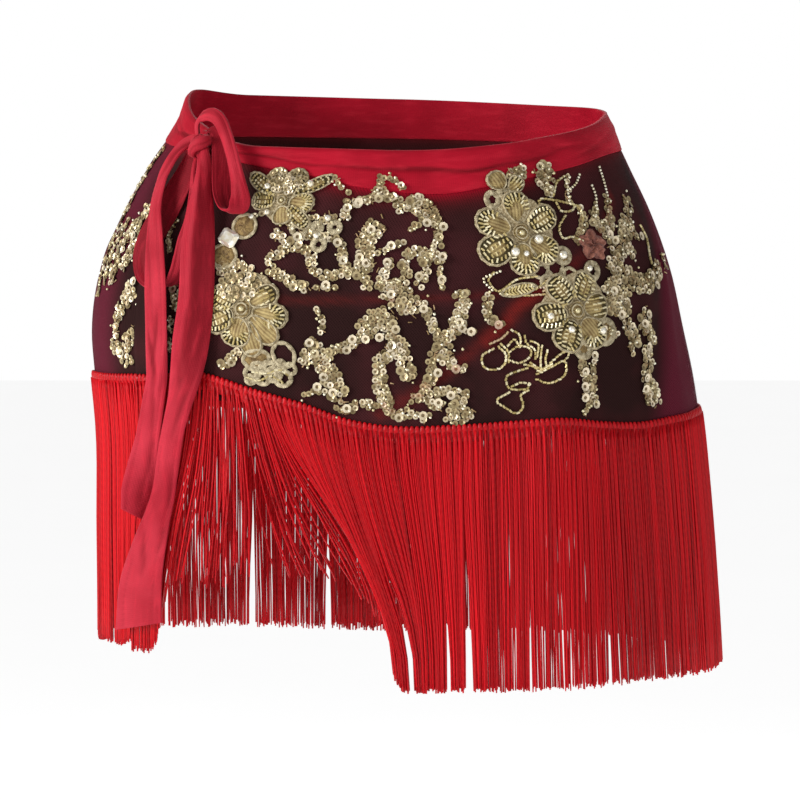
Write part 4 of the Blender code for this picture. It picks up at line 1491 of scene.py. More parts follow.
# Loops of close lace in one repeat: centre, radius, the hole's share of it, how far they are drawn out,
# and turned, and whether gold silk fills them.
LACE_LOOPS = table("""
angle level radius hole stretch turn filled
253.5 -61.5 4.6 0.32 1.3 -10 0
260.2 -60.5 4.4 0.3 1 0 0
257.6 -69.5 4.6 0.36 1 0 0
256.8 -61 4.2 0.14 1.1 40 0
241.9 -60 6.8 0.72 1.15 -40 1
238.9 -76 7 0.72 1.2 -20 1
297.3 -84 4.6 0.56 1.2 20 0
301 -81.5 5.2 0.6 1.3 60 0
304.4 -86.5 4.6 0.56 1.1 100 0
298.6 -89.5 4.2 0.3 1.3 40 0
289 -45.8 4.8 0.36 1.2 80 0
292 -42.5 4 0.14 1.2 0 0
303.4 -76 5.4 0.5 1.1 20 1
310.6 -84.5 5.4 0.34 1.2 65 0
312 -117.5 7.2 0.5 1.2 60 1
305.2 -126.5 6 0.3 1.1 0 1
236 -84 3.6 0.3 1 0 0
300 -96.5 3.6 0.3 1.3 30 0
252.4 -128.5 6.6 0.66 1.25 -58 0
247.2 -131 6 0.62 1.5 4 1
246.3 -139 4.4 0.4 1.3 -20 0
248.4 -141 4.6 0.44 1.2 -10 0
250.5 -139 4.8 0.4 1.2 20 0
252.2 -141.2 5.2 0.5 1.1 0 0
249.4 -135.5 4.4 0.34 1.5 10 0
251.6 -135 4 0.4 1.3 60 0
247.6 -135.5 4.2 0.3 1.3 -20 0
246 -142 3.4 0.3 1.2 0 0
253.6 -136 3.6 0.4 1.2 -50 0
""")

# The leaf of lace with slanted bugles in each repeat: centre, length, width and how far it is turned.
LEAVES = table("""
angle level length width turn
292 -94 20 6 12
""")

# The applied flowers of one repeat and, last, the spray above the centre one: centre and the petals'
# usual reach.
FLOWERS = table("""
angle level reach
249 -46 15.5
244.3 -104 24
294.2 -63.5 23.8
304.6 -105.5 25.5
292.5 -43 11
""")
FLOWER_NAMES = (
    ("flower_front_left_top", "flower_back_right_top"),
    ("flower_front_left", "flower_back_right"),
    ("flower_front_centre", "flower_back_centre"),
    ("flower_front_right", "flower_back_left"),
    ("spray_front_centre", "spray_back_centre"),
)
SPRAY = 4  # the one of these that has no heart and no solid of its own

# Their petals: which flower, how far turned, length and half width as shares of its reach, and their
# work: a fan of bugles, rows of them along it, rows of them on the slant, sequins, or gold silk.
PETALS = """
0 112 1.2 0.36 sequins
0 64 1.2 0.36 sequins
0 28 1.8 0.22 slant
0 146 1.65 0.26 slant
0 -80 0.86 0.36 silk
0 -42 1.45 0.26 slant
0 179 1.12 0.36 slant
0 -8 1.12 0.36 fan
1 84 0.84 0.36 sequins
1 120 0.88 0.3 sequins
1 154 0.88 0.3 slant
1 203 0.94 0.34 slant
1 286 1.14 0.26 silk
1 316 1.1 0.25 silk
1 30 0.88 0.26 rows
1 -14 1.04 0.3 fan
1 258 0.88 0.36 fan
2 28 1.06 0.3 slant
2 88 0.96 0.33 fan
2 160 1.02 0.32 fan
2 211 1.14 0.34 slant
2 268 0.98 0.34 fan
2 324 1 0.34 fan
3 125 0.88 0.3 slant
3 61 0.92 0.32 slant
3 8 0.84 0.3 rows
3 190 1 0.31 slant
3 244 0.96 0.33 slant
3 306 0.95 0.34 fan
4 118 1.25 0.52 silk
4 42 1.2 0.42 rows
"""
# From a petal's edge to its middle: how far in, how high, and how much it is lace, or dark under beads.
PETAL_RELIEF = table("""
share out rim dark
0.05 0 1 0
0.4 0 1 0
0.7 0 1 0
1 0 1 0
1 0.9 1 0
0.96 1.2 1 0
0.91 1.05 0.8 0.2
0.88 0.8 0 1
0.62 0.95 0 1
0.47 1.3 0 0.8
0.38 1.6 0 0
0.2 1.9 0 0
0.04 2 0 0
""")
PETAL_POINTS, PETAL_UNDER = 48, 4  # points round a petal, and the rings on its underside
PETAL_SCALLOPS, SCALLOP_DEPTH = 13, 0.02
PETAL_STEP = 0.22  # mm by which a petal starts above its neighbour
PETAL_LEAN = 0.45  # mm by which one side of a petal is higher, so that it lies over its neighbour
BED, BED_OUT = 0.78, 0.7  # the lace bed beneath the petals: its share of the reach, and mm out
HEART, HEART_RING, HEART_RISE = 0.2, 0.13, 0.9
FLOWER_CORD, LACE_HIGH, LEAF_CORD = 0.5, 0.6, 0.7  # half thicknesses of the cords
LACE_POINTS = 28

# The silk pad within a loop or a leaf, from its underside to its middle.
LACE_PAD = table("""
share out run
0.98 0 4
0.98 0.5 3.6
0.6 0.95 2
0.08 1.1 0
""")

# Pearls in one repeat: centre, radius and how high what they are sewn on is.
PEARLS = table("""
angle level radius rise
254.5 -37 2 2.4
245.2 -38.5 1.8 2.4
258.8 -55.5 1.9 1
257 -64.8 1.7 1
292 -73.5 2.6 2.2
294.4 -74.5 1.7 2.2
297.8 -67 2.6 2.2
303.3 -75.5 2.5 1
309.6 -83 1.8 1
297.8 -108 2 2.2
302.5 -115.5 2.1 2.2
310.8 -116.8 2.2 1
243 -54.8 1.6 0.6
246.2 -52.4 1.8 0.6
""")
CUT_STONE = {"angle": 239.2, "level": -66.5, "turn": -28.0}
CUT_STONE_HALF = (5.2, 4.5, 2.4)
ORGANZA_FLOWER = {"angle": 312.6, "level": -70.5}
ORGANZA_REACH, ORGANZA_POINTS, ORGANZA_RINGS = 7.8, 60, 9
SEWN_ON = 0.5  # mm from the net's middle surface to the underside of what is sewn on it

SEQUIN_SMALL, SEQUIN_LARGE, SEQUIN_PITCH = 1.7, 2.5, 2.7
SEED_RADIUS, STRING_PITCH = 0.85, 1.95
BUGLE_RADIUS = 0.58
STRING_BUGLE_PITCH, STRING_BUGLE_HALF, STRING_BUGLE_RADIUS = 2.2, 0.95, 0.66
CLEAR_OF_ENDS = 4
STONE_RINGS = ((0.9, 0.0), (1.0, 0.3), (1.0, 0.45), (0.62, 1.0))
BAND_FILLED = 0.92  # how much of a band's width its rows of sequins fill
LEAF_FILLED, LEAF_PITCH, LEAF_SLANT = 0.72, 1.5, 52
LARGE_SHARE = 0.05  # how many of a band's sequins are large
THREAD_PITCH, EDGE_PITCH = 2, 3.1
FLOWER_COVERS = 0.86  # share of a flower's reach under which nothing else is sewn
FLOWERS_ROUND = 1.08  # how much more cloth a degree has at the flowers
BAND_LIFTS = 2.1
BLUSH_FROM, BLUSH_SHADE = 0.25, 0.35  # what takes the streak's red: streak and shade above these
SHOWN = 0.14  # the lowest shade of what isn't a sequin's hole


def sequin_shape():
    """A cupped sequin of radius 1 with its hole: a rim of eight points, a ring round the hole, the dark
    pit in it and a closed underside. Returns (points, faces, each point's change of shade)."""
    turn = whole_turn(8)
    around = stacked(np.cos(turn), np.sin(turn), 0)
    rings = [around + (0, 0, 0.15), around * 0.42, around * 0.38 + (0, 0, -0.04)]
    points = np.concatenate([*rings, [(0, 0, -0.08), (0, 0, -0.16)]])
    here, beside = np.arange(8), (np.arange(8) + 1) % 8
    pit, under = stacked(here + 16, beside + 16, 24), stacked(beside, here, 25)
    # The ring round the hole is painted a little darker, as shade in the cup; the pit takes the colour of
    # what shows through the hole.
    shade = np.repeat([0.0, -0.1, -2.0, -2.0, 0.0], [8, 8, 8, 1, 1])
    return points, [grid_faces(3, 8, ring=True), np.concatenate([pit, under])], shade


def bead_shape():
    """A bead of radius 1: the twenty-sided solid, smooth shaded. Its faces are the sets of three
    corners that lie one edge apart."""
    gold = (1 + 5**0.5) / 2
    corners = [(0, a, b * gold) for a in (-1, 1) for b in (-1, 1)]
    points = np.array([np.roll(corner, turn) for turn in range(3) for corner in corners])
    near = np.triu(np.linalg.norm(points[:, None] - points, axis=2) < 2.01, 1)
    faces = np.argwhere(near[:, :, None] & near & near[:, None])
    inward = np.linalg.det(points[faces]) < 0
    faces[inward] = faces[inward][:, [0, 2, 1]]
    return unit(points), [faces], np.zeros(12)


def prism(sides):
    """A prism along x, half a length of 1 each way, with flat ends: six sides make a cut bugle bead and
    four a stitch of thread."""
    turn = whole_turn(sides)
    ring = stacked(0, np.cos(turn), np.sin(turn))
    points = np.concatenate([ring + (-1, 0, 0), ring + (1, 0, 0)])
    return points, stack_faces(2, sides), np.zeros(len(points))


def pearl_shape():
    """A ball of radius 1: seven rings of twelve points, from its foot to its crown."""
    turn, rise = whole_turn(12), np.radians(np.linspace(-75, 75, 7))[:, None]
    points = stacked(np.cos(rise) * np.cos(turn), np.cos(rise) * np.sin(turn), np.sin(rise)).reshape(-1, 3)
    return points, stack_faces(7, 12), np.zeros(len(points))


def stone_shape():
    """A square stone with cut corners: a flat underside, a girdle and a table, half a size of 1."""
    corner = np.array([(1, 0.7), (0.7, 1), (-0.7, 1), (-1, 0.7)])
    corners = np.concatenate([corner, -corner])
    rings = [np.column_stack([corners * share, np.full(8, rise)]) for share, rise in STONE_RINGS]
    points = np.concatenate(rings)
    return points, stack_faces(len(rings), 8), np.zeros(len(points))


def spots(**columns):
    """Places for small things sewn on the cloth: angle and level of a point on it, mm across and up
    from there, mm out, how far each is turned and tilted, its half size along, across and out (its width
    serves where they aren't given), its shade."""
    wide = columns.get("wide", 1.0)
    given = dict(across=0.0, up=0.0, out=SEWN_ON, turn=0.0, tip=0.0, roll=0.0, shade=0.5)
    given = {**given, "wide": wide, "long": wide, "thick": wide, **columns}
    values = np.broadcast_arrays(*given.values())
    return {name: np.asarray(value, float).ravel() for name, value in zip(given, values)}


def over_band(angle, level):
    """How far the band's two plies lift what is sewn across its lower edge."""
    return BAND_LIFTS * ease(level - band_bottom(angle), -2.5, 0.5)


def gathered(groups):
    """Several groups of places as one."""
    groups = list(groups)
    return {name: np.concatenate([group[name] for group in groups]) for name in groups[0]}


def repeats(places):
    """Places of one repeat, on the front and again further round, where the outer cloth has them."""
    copies = []
    for turn in range(3):
        angle = places["angle"] + turn * FABRIC_REPEAT
        kept = (angle > WRAP_START + CLEAR_OF_ENDS) & (angle < WRAP_END - CLEAR_OF_ENDS)
        copies.append({**{name: value[kept] for name, value in places.items()}, "angle": angle[kept]})
    return gathered(copies)


def clear_of_flowers(places):
    """The places that no applied flower covers."""
    kept = np.ones(len(places["angle"]), bool)
    for angle, level, reach in zip(*FLOWERS.values()):
        aside = (places["angle"] - angle) * MM_PER_DEGREE * FLOWERS_ROUND + places["across"]
        away = np.hypot(aside, places["level"] + places["up"] - level)
        kept &= away > reach * FLOWER_COVERS
    return {name: value[kept] for name, value in places.items()}


def add_spots(name, shape, places, finish, smooth=False):
    """One mesh of many copies of a small shape: each is turned in the cloth's plane, tipped off it, and
    scaled, then set at its place on the cloth's own directions."""
    template, kinds, tones = shape
    level = places["level"] + places["up"]
    out = places["out"] + over_band(places["angle"], level)
    here, sideways, upward, outward = cloth_directions(places["angle"], level, out, places["across"])
    turn, tip, roll = (places[key][:, None] for key in ("turn", "tip", "roll"))
    first, second = rotated(sideways, upward, turn)
    first, third = rotated(first, outward, tip)
    second, third = rotated(second, third, roll)
    size = stacked(places["long"], places["wide"], places["thick"])
    axes = np.stack([first, second, third], 1)
    points = here[:, None] + np.einsum("nki,nij->nkj", template * size[:, None], axes)
    count = len(template)
    faces = [repeated(kind, len(here), count) for kind in kinds]
    blush = (streak(places["angle"], level) > BLUSH_FROM) * (places["shade"] > BLUSH_SHADE)
    shown = SHOWN + (1 - SHOWN) * np.clip(places["shade"][:, None] + tones, 0, 1)
    values = {"shade": np.where(tones < -1, 0, shown), "blush": np.repeat(blush * places["shade"], count)}
    return sew_on(name, points, faces, finish, "beads", smooth=smooth, values=values)


def stations(rows, step):
    """Sewn lines read at even steps of cloth. Yields each line's own numbers, its angles and levels, and
    its direction at each as a complex number, mm round and mm up."""
    for *own, line in rows:
        angle, level = evenly(line, step)
        yield *own, angle, level, np.gradient(angle) * MM_PER_DEGREE + 1j * np.gradient(level)


def sewn_rows(width):
    """How many rows of sequins fill a band of this width."""
    return max(1, int(round(BAND_FILLED * width / SEQUIN_PITCH)))


def band_spots(random):
    """Sequins in staggered rows along each sewn band, one row for each pitch of its width, each a
    little off its even place and tipped its own way. A few are large."""
    for width, angle, level, ahead in stations(SEQUIN_BANDS, SEQUIN_PITCH):
        rows = sewn_rows(width)
        ahead = (ahead / np.abs(ahead))[:, None]
        off = (np.arange(rows) - (rows - 1) / 2) * SEQUIN_PITCH * 0.95
        shift = ahead * 1j * off + ahead * (np.arange(rows) % 2)
        shift = shift + random.normal(0, 0.55, shift.shape) + 1j * random.normal(0, 0.55, shift.shape)
        large = random.random(shift.shape) < LARGE_SHARE
        yield spots(
            angle=angle[:, None],
            level=level[:, None],
            across=shift.real,
            up=shift.imag,
            out=SEWN_ON + 0.2 + 0.5 * random.random(shift.shape) + 0.5 * large,
            turn=random.uniform(0, 360, shift.shape),
            tip=random.normal(0, 10, shift.shape),
            roll=random.normal(0, 10, shift.shape),
            wide=np.where(large, SEQUIN_LARGE, SEQUIN_SMALL * random.uniform(0.9, 1.1, shift.shape)),
            shade=random.beta(1.5, 1.7, shift.shape),
        )


def large_sequins(random):
    """The single large sequins, close to flat on the net."""
    angle, level = LARGE_SEQUINS.T
    return spots(
        angle=angle,
        level=level,
        out=SEWN_ON + 1.4,
        turn=random.uniform(0, 360, len(angle)),
        tip=random.normal(0, 7, len(angle)),
        roll=random.normal(0, 7, len(angle)),
        wide=SEQUIN_LARGE,
        shade=0.85,
    )


def band_threads(random):
    """Stitches of gold and rose thread lying every way under each band's sequins."""
    for width, angle, level, _ in stations(SEQUIN_BANDS, THREAD_PITCH):
        angle, level = np.repeat([angle, level], sewn_rows(width), axis=1)
        yield spots(
            angle=angle,
            level=level,
            across=random.normal(0, width * 0.2, len(angle)),
            up=random.normal(0, width * 0.2, len(angle)),
            out=SEWN_ON + 0.3,
            turn=random.uniform(0, 180, len(angle)),
            long=random.uniform(0.8, 1.6, len(angle)),
            wide=0.34,
            thick=0.3,
            shade=random.beta(1.4, 1.6, len(angle)),
        )


def edge_spots(random):
    """Seed beads sewn here and there between the sequins of each band."""
    for width, angle, level, _ in stations(SEQUIN_BANDS, EDGE_PITCH):
        yield spots(
            angle=angle,
            level=level,
            across=random.normal(0, width * 0.32, len(angle)),
            up=random.normal(0, width * 0.32, len(angle)),
            out=SEWN_ON + 1.0,
            wide=SEED_RADIUS * random.uniform(0.8, 1.15, len(angle)),
            shade=random.beta(2, 1.4, len(angle)),
        )


def string_bugles(random):
    """Bugles threaded end to end along each string, turned as it runs."""
    for angle, level, ahead in stations(BUGLE_STRINGS, STRING_BUGLE_PITCH):
        yield spots(
            angle=angle,
            level=level,
            out=SEWN_ON + STRING_BUGLE_RADIUS,
            turn=np.degrees(np.angle(ahead)) + random.normal(0, 9, len(angle)),
            long=STRING_BUGLE_HALF,
            wide=STRING_BUGLE_RADIUS,
            shade=random.beta(1.6, 1.5, len(angle)),
        )


def string_spots(random):
    """Beads threaded along each string."""
    for angle, level, _ in stations(BEAD_STRINGS, STRING_PITCH):
        shade = np.clip(0.7 + random.normal(0, 0.15, len(angle)), 0, 1)
        yield spots(angle=angle, level=level, out=SEWN_ON + 0.6, wide=SEED_RADIUS, shade=shade)


def leaf_bugles(random):
    """Bugles laid in herring-bone from each leaf's rib: position along the leaf, then out to each side."""
    for angle, level, length, width, turn in zip(*LEAVES.values()):
        steps = max(4, int(length * LEAF_FILLED / LEAF_PITCH))
        steps = np.linspace(-LEAF_FILLED / 2, LEAF_FILLED / 2, steps)[:, None]
        side = np.array([-1.0, 1.0])
        reach = width / 2 * np.cos(np.pi * steps) ** 0.7 * 0.8
        up, across = rotated(side * reach * 0.5, steps * length, turn)
        yield spots(
            angle=angle,
            level=level,
            across=across,
            up=up,
            out=SEWN_ON + 1.25,
            turn=turn + side * LEAF_SLANT,
            long=np.maximum(reach * 0.62, 0.7),
            wide=BUGLE_RADIUS,
            shade=random.beta(2, 2, (len(steps), 2)),
        )


def flower_rows():
    """Each flower on the front and on the back: its name, its place, its number."""
    for row, names in enumerate(FLOWER_NAMES):
        flower = {column: values[row] for column, values in FLOWERS.items()}
        for turn, name in enumerate(names):
            yield name, {**flower, "angle": flower["angle"] + turn * FABRIC_REPEAT}, row


def petal_rows(row):
    """A flower's petals, each a little above the last: its axis, its egg's middle, half length and half
    width as shares of the flower's reach, its work, and how high it starts."""
    for order, line in enumerate(PETALS.split("\n")[1:-1]):
        *sizes, work = line.split()
        flower, axis, length, width = map(float, sizes)
        if flower == row:
            base = PETAL_STEP * (order % 3)
            yield dict(axis=axis, middle=0.6 * length, half=0.4 * length, width=width, work=work, base=base)


def petal_egg(petal, turn, share=1.0):
    """A petal's outline as shares of reach: an egg, broad towards its tip."""
    along = petal["middle"] + petal["half"] * share * np.cos(turn)
    return along, petal["width"] * share * np.sin(turn) * (1 + 0.22 * np.cos(turn))


def petal_spots(flower, petal, along, away, out, turn=0.0, **more):
    """Places on one petal, along its axis and away from it, as shares of the flower's reach."""
    up, across = rotated(away, along, petal["axis"])
    return spots(
        angle=flower["angle"],
        level=flower["level"],
        across=flower["reach"] * across,
        up=flower["reach"] * up,
        out=SEWN_ON + petal["base"] + PETAL_LEAN * away / petal["width"] + out,
        turn=turn + petal["axis"],
        **more,
    )


def petal_bugles(flower, petal, random):
    """A petal's bugles: two fans round its outer half, four rows along it, or four rows on the slant."""
    if petal["work"] == "fan":
        spread = np.radians(np.append(np.arange(-5, 6) * 19.0, np.arange(-3, 4) * 25.0))
        along, away = petal_egg(petal, spread, np.repeat([0.72, 0.46], (11, 7)))
        turn = np.degrees(np.arctan2(away, along - petal["middle"] + 0.1 * petal["half"]))
        half = 0.14 * petal["half"]
    elif petal["work"] == "rows":
        step, away = np.repeat([-0.1, 0.26, 0.6], 4), petal["width"] * np.tile([-0.56, -0.19, 0.19, 0.56], 3)
        along = petal["middle"] + petal["half"] * (step - 0.4 * (away / petal["width"]) ** 2)
        turn, half = 0 * away, 0.15 * petal["half"]
    else:
        step = np.repeat(np.linspace(-0.66, 0.72, 7), 4)
        column = np.tile([-0.66, -0.22, 0.22, 0.66], 7)
        along = petal["middle"] + petal["half"] * (step - 0.12 * np.abs(column))
        away = petal["width"] * column * (1 - step**2) ** 0.5
        turn, half = 90 - 34 * column, 0.15 * petal["width"]
    count = len(along)
    return petal_spots(
        flower,
        petal,
        along,
        away,
        1.75,
        turn + random.normal(0, 9, count),
        long=half * flower["reach"] * random.uniform(0.85, 1.1, count),
        wide=BUGLE_RADIUS,
        shade=random.beta(1.9, 1.3, count),
    )


def petal_sequins(flower, petal, random):
    """A petal's sequins: three rings of them and one in the middle."""
    counts = (1, 5, 10, 14)
    share = np.repeat([0.0, 0.3, 0.56, 0.8], counts)
    angle = np.concatenate([whole_turn(count) for count in counts])
    along, away = petal_egg(petal, angle, share)
    count = len(share)
    return petal_spots(
        flower,
        petal,
        along + random.normal(0, 0.02, count),
        away + random.normal(0, 0.02, count),
        1.8 + 0.5 * random.random(count),
        random.uniform(0, 360, count),
        tip=random.normal(0, 11, count),
        roll=random.normal(0, 11, count),
        wide=SEQUIN_SMALL * (0.6 + 0.4 * flower["reach"] / 24),
        shade=random.beta(1.5, 1.7, count),
    )


def petal_pad(flower, petal):
    """A petal's ground, from its underside over its scalloped lace rim to its middle: points by ring and
    place round it, its own map, and how much of each is rim and is dark under beads."""
    turn = whole_turn(PETAL_POINTS)
    share, out, rim, dark = (column[:, None] for column in PETAL_RELIEF.values())
    share = share * (1 + SCALLOP_DEPTH * rim * np.cos(PETAL_SCALLOPS * turn))
    along, away = petal_egg(petal, turn, share)
    under = {"fan": ease(np.cos(turn), -0.25, 0.15), "rows": 0.5 + 0.5 * np.cos(turn), "silk": 0, "lace": 0}
    dark = dark * (under.get(petal["work"], 1) + 0 * turn)
    if petal["work"] == "lace":
        rim, out = 1 + 0 * rim, np.minimum(out, BED_OUT)
    place = petal_spots(flower, petal, along, away, out)
    lifted = np.maximum(place["out"], SEWN_ON)
    lifted[: PETAL_UNDER * PETAL_POINTS] = SEWN_ON - 0.1
    level = place["level"] + place["up"]
    points = slid_points(place["angle"], level, lifted + over_band(place["angle"], level), place["across"])
    uv = stacked(away, along) * flower["reach"]
    return points, uv.reshape(-1, 2), (rim + 0 * dark).ravel(), dark.ravel()


def add_flower_ground(name, flower, row):
    """A flower's petals and its heart, each a closed dome over the next."""
    petals = list(petal_rows(row))
    if row != SPRAY:
        bed = dict(axis=0, middle=0.0, half=BED, width=BED, work="lace", base=0.0)
        heart = dict(axis=0, middle=0.0, half=HEART, width=HEART, work="silk", base=HEART_RISE)
        petals = [bed, *petals, heart]
    pads = [petal_pad(flower, petal) for petal in petals]
    points, uv, rim, dark = (np.concatenate(part) for part in zip(*pads))
    faces = stack_faces(len(PETAL_RELIEF["share"]), PETAL_POINTS, len(petals))
    nodes, values = [] if row == SPRAY else [name], {"rim": rim, "dark": dark}
    return sew_on(name + "_ground", points, faces, PETAL, "beads", *nodes, uv=uv, values=values)


def loop_paths(places, count):
    """Closed loops on the cloth from places in order, count to each: (middle, outward)."""
    level = places["level"] + places["up"]
    out = places["out"] + over_band(places["angle"], level)
    here, _, _, outward = cloth_directions(places["angle"], level, out, places["across"])
    return here.reshape(-1, count, 3), outward.reshape(-1, count, 3)


def add_flowers():
    """Every flower's ground, petal cords, bugles, sequins and heart."""
    random = np.random.default_rng(SEED + 2)
    grounds, rims, bugles, sequins, hearts = [], [], [], [], []
    turn = whole_turn(36)
    for name, flower, row in flower_rows():
        grounds.append(add_flower_ground(name, flower, row))
        reach = flower["reach"]
        for petal in petal_rows(row):
            rims.append(petal_spots(flower, petal, *petal_egg(petal, turn, 0.9), 1.2))
            if petal["work"] == "sequins":
                sequins.append(petal_sequins(flower, petal, random))
            elif petal["work"] != "silk":
                bugles.append(petal_bugles(flower, petal, random))
        if row != SPRAY:
            place = dict(angle=flower["angle"], level=flower["level"])
            out = SEWN_ON + HEART_RISE + 2
            across, up = HEART_RING * reach * np.cos(turn), HEART_RING * reach * np.sin(turn)
            rims.append(spots(**place, across=across, up=up, out=out))
            hearts.append(spots(**place, out=SEWN_ON + HEART_RISE + 1.9, wide=0.075 * reach, shade=0.3))
    middle, outward = loop_paths(gathered(rims), len(turn))
    half = np.full(middle.shape[:2], FLOWER_CORD)
    points, faces, uv = tubes(middle, outward, half, half, 6, closed=True)
    cords = sew_on("flower_cords", points, faces, LACE, "beads", uv=uv)
    return [
        *grounds,
        cords,
        add_spots("flower_bugles", prism(6), gathered(bugles), BUGLES),
        add_spots("flower_sequins", sequin_shape(), gathered(sequins), SEQUINS),
        add_spots("flower_hearts", bead_shape(), gathered(hearts), SEEDS, smooth=True),
    ]


def add_stones():
    """The pearls and, in each repeat, the square cut stone between two loops of lace."""
    place = {key: PEARLS[key] for key in ("angle", "level")}
    out = SEWN_ON + PEARLS["rise"] + 0.4 * PEARLS["radius"]
    pearls = repeats(spots(**place, out=out, wide=PEARLS["radius"]))
    length, width, rise = CUT_STONE_HALF
    stones = repeats(spots(**CUT_STONE, out=SEWN_ON + 0.6, long=length, wide=width, thick=rise))
    return [
        add_spots("pearls", pearl_shape(), pearls, STONES, smooth=True),
        add_spots("cut_stones", stone_shape(), stones, STONES),
    ]


def add_organza():
    """A crumpled organza flower: a disc whose edge has five waves and whose height is the sum of a wave
    that winds with the radius and a finer one, closed underneath."""
    turn = whole_turn(ORGANZA_POINTS)
    share = np.linspace(1, 0.06, ORGANZA_RINGS)[:, None]
    winding = 1 + np.sin(5 * turn + 5 * share + np.sin(3 * turn))
    height = 0.7 + 1.1 * winding * np.sin(np.pi * (0.25 + 0.6 * share)) + 0.45 * np.sin(13 * turn - 6 * share)
    radius = ORGANZA_REACH * share * (1 + 0.14 * np.sin(5 * turn + 0.6) + 0.05 * np.sin(11 * turn))
    height, radius = np.vstack([0 * turn, height]), np.vstack([radius[:1], radius])
    level = ORGANZA_FLOWER["level"] + radius * np.sin(turn)
    angles = ORGANZA_FLOWER["angle"] + FABRIC_REPEAT * np.arange(2)[:, None, None]
    points = slid_points(angles, level, SEWN_ON + height, radius * np.cos(turn))
    faces = stack_faces(ORGANZA_RINGS + 1, ORGANZA_POINTS, 2)
    return sew_on("organza_flowers", points, faces, ORGANZA, "beads")


def add_lace():
    """Loops of close lace, some round gold silk, and leaves: a padded disc each with its rim cord."""
    turn = whole_turn(LACE_POINTS)
    cords, widths, pads = [], [], []

    def ring(angle, level, along, away, turned, out):
        up, across = rotated(away, along, turned)
        outline = spots(angle=angle, level=level, across=across, up=up, out=SEWN_ON + out)
        return loop_paths(repeats(outline), LACE_POINTS)

    def pad(angle, level, along, away, turned):
        shares = zip(LACE_PAD["share"], LACE_PAD["out"])
        rings = [ring(angle, level, along * share, away * share, turned, out) for share, out in shares]
        pads.append(np.stack([middle for middle, _ in rings], 1))

    for angle, level, radius, hole, stretch, turned, filled in zip(*LACE_LOOPS.values()):
        wide = radius * (1 - hole) / 2 * (1 + 0.12 * np.cos(7 * turn + radius))
        along, away = (radius - wide) * stretch * np.cos(turn), (radius - wide) * np.sin(turn)
        cords.append(ring(angle, level, along, away, turned, 0.6))
        widths.append(np.tile(wide, (len(cords[-1][0]), 1)))
        if filled:
            pad(angle, level, along, away, turned)
    for angle, level, length, width, turned in zip(*LEAVES.values()):
        along = length / 2 * np.cos(turn)
        away = width / 2 * np.sin(turn) * np.abs(np.sin(turn)) ** 0.35
        cords.append(ring(angle, level, along, away, turned, 0.8))
        widths.append(np.full(cords[-1][0].shape[:2], LEAF_CORD))
        pad(angle, level, along, away, turned)
    middle, outward = (np.concatenate(part) for part in zip(*cords))
    across = np.concatenate(widths)
    points, faces, uv = tubes(middle, outward, across, np.minimum(across, LACE_HIGH), 10, closed=True)
    loops = sew_on("lace_loops", points, faces, LACE, "beads", uv=uv)
    pads = np.concatenate(pads)
    faces = stack_faces(pads.shape[1], LACE_POINTS, len(pads))
    uv = np.tile(stacked(turn * 4, LACE_PAD["run"][:, None]), (len(pads), 1, 1))
    return [loops, sew_on("leaf_grounds", pads, faces, THREAD, "beads", uv=uv)]


def add_embroidery():
    """The net's own beadwork: sequin bands, single large sequins, bead strings, leaves and lace."""
    random = np.random.default_rng(SEED + 3)
    large = large_sequins(random)
    sequins = repeats(clear_of_flowers(gathered([*band_spots(random), large])))
    beads = repeats(clear_of_flowers(gathered([*string_spots(random), *edge_spots(random)])))
    leaves = repeats(gathered(leaf_bugles(random)))
    threads = repeats(clear_of_flowers(gathered(band_threads(random))))
    bugles = repeats(gathered(string_bugles(random)))
    return [
        add_spots("sewn_sequins", sequin_shape(), sequins, SEQUINS),
        add_spots("sewn_beads", bead_shape(), beads, SEEDS, smooth=True),
        add_spots("leaf_bugles", prism(6), leaves, BUGLES),
        add_spots("band_threads", prism(4), threads, STITCHES, smooth=True),
        add_spots("string_bugles", prism(6), bugles, BUGLES),
        *add_lace(),
        add_organza(),
        *add_stones(),
    ]


# -------- the scene

CAMERA_AIM = Vector((0.0023, 0.0, -0.1615))
CAMERA_DISTANCE, CAMERA_ELEVATION, CAMERA_LENS = 1.8, 4.5, 141.8
FLOOR_LEVEL, FLOOR_REACH = -1.02, 12.0


def add_camera():
    """A long lens in front of the scarf, looking down a little on its middle."""
    camera = bpy.data.objects.new("camera", bpy.data.cameras.new("camera"))
    bpy.context.scene.collection.objects.link(camera)
    rise = np.radians(CAMERA_ELEVATION)
    away = Vector((0, -float(np.cos(rise)), float(np.sin(rise)))) * CAMERA_DISTANCE
    camera.location = CAMERA_AIM + away
    camera.rotation_euler = (-away).to_track_quat("-Z", "Y").to_euler()
    camera.data.lens, camera.data.sensor_width = CAMERA_LENS, 36
    camera.data.clip_start, camera.data.clip_end = 0.05, 30
    bpy.context.scene.camera = camera


# Each studio light: where it stands, its size in metres, its watts.
LIGHTS = {
    "key_light": ((-2.55, -1.35, 0.75), 1.1, 80),
    "fill_light": ((1.6, -2.2, 0.3), 1.8, 11),
    "back_light": ((0.4, 2.2, 1.4), 1.5, 14),
}
SKY = 0.38  # the plain white surroundings' strength as light


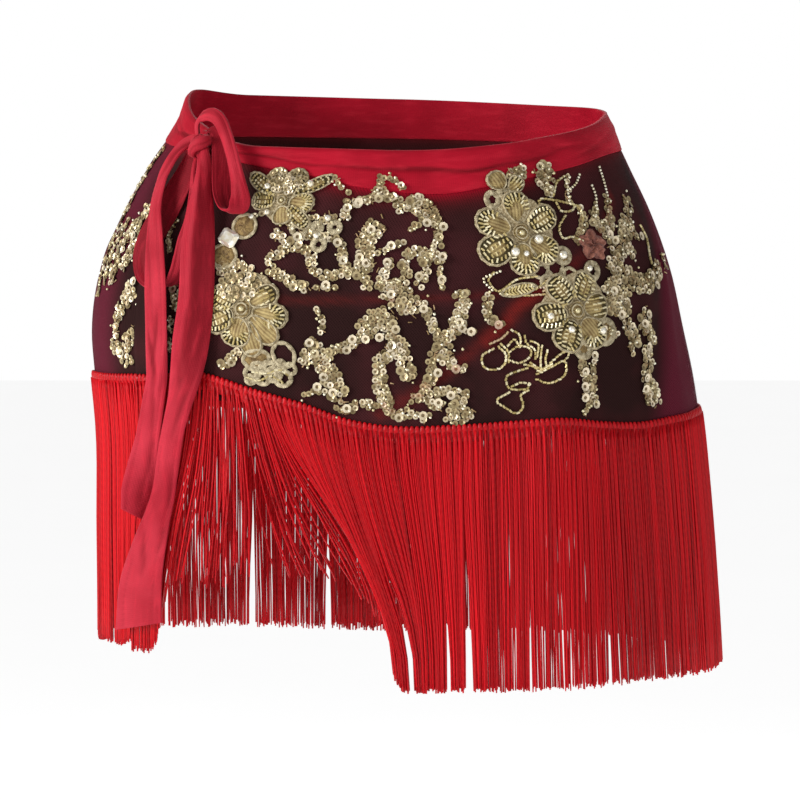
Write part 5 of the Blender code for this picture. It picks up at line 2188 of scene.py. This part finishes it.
def add_lights():
    """Three soft lamps, and plain surroundings that are white to see and dimmer as light."""
    for name, (place, size, power) in LIGHTS.items():
        light = bpy.data.lights.new(name, "AREA")
        light.energy, light.size = power, size
        lamp = bpy.data.objects.new(name, light)
        lamp.location = place
        lamp.rotation_euler = (CAMERA_AIM - Vector(place)).to_track_quat("-Z", "Y").to_euler()
        bpy.context.scene.collection.objects.link(lamp)
    world = bpy.data.worlds.new("studio")
    sky = Nodes(world)
    background = sky.tree.nodes["Background"]
    background.inputs["Color"].default_value = (1, 1, 1, 1)
    seen = sky.node("ShaderNodeLightPath", output="Is Camera Ray")
    strength = sky.node("ShaderNodeMapRange", None, {"Value": seen, "To Min": SKY, "To Max": 1.0})
    sky.tree.links.new(strength.socket, background.inputs["Strength"])
    bpy.context.scene.world = world
    bpy.context.scene.view_settings.view_transform = "Standard"


def add_floor():
    """A plain pale floor under the hung garment."""
    corners = np.array([(-1, -1, 0), (1, -1, 0), (1, 1, 0), (-1, 1, 0)]) * FLOOR_REACH
    points = (corners + (0, 0, FLOOR_LEVEL)) / METRE
    finish = Finish("floor", Roughness=0.8, Emission_Color=(1, 1, 1, 1), Emission_Strength=0.6)
    grain = finish.noise(finish.place(), 3, 2)
    material = finish.varies(Base_Color=finish.mix(grain, (0.86, 0.86, 0.86, 1), (0.9, 0.9, 0.9, 1)))
    add_piece("floor", points, [np.array([[0, 1, 2, 3]])], material)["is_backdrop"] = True


def cut(length, width):
    """A strip's flat size in metres."""
    return (float(width) * METRE, float(length) * METRE)


def main():
    add_camera()
    add_lights()
    add_floor()
    panel, band, braid = add_panel(), add_band(), add_braid()
    cords = add_fringe()
    stretches = [add_ribbon(*stretch) for stretch in TIE_STRETCHES]
    add_knot()
    sewn = add_flowers() + add_embroidery()
    angle = np.linspace(WRAP_START, WRAP_END, 600)
    top, edge, hem = (read(WRAP, name, angle) for name in ("band_top", "band_bottom", "braid_top"))
    run = cloth_run(angle, (edge + hem) / 2)[-1]
    deep = float((edge - hem + TUCKED_UNDER_BAND).mean()) + TURNED_UNDER_BRAID
    cut(run, deep)
    run, deep = cloth_run(angle, top)[-1], (top - edge).mean()
    cut(run, 2 * deep)
    for piece, (_, rows, _) in zip(stretches, TIE_STRETCHES):
        run, *_, width, _ = ribbon_frame(rows)
        cut(run[-1], width.mean() * ROLLED_IN)


main()
sizes = {"cad": cad_box, "visual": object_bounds()}
sizes = {name: [list(map(float, corner)) for corner in box] for name, box in sizes.items()}
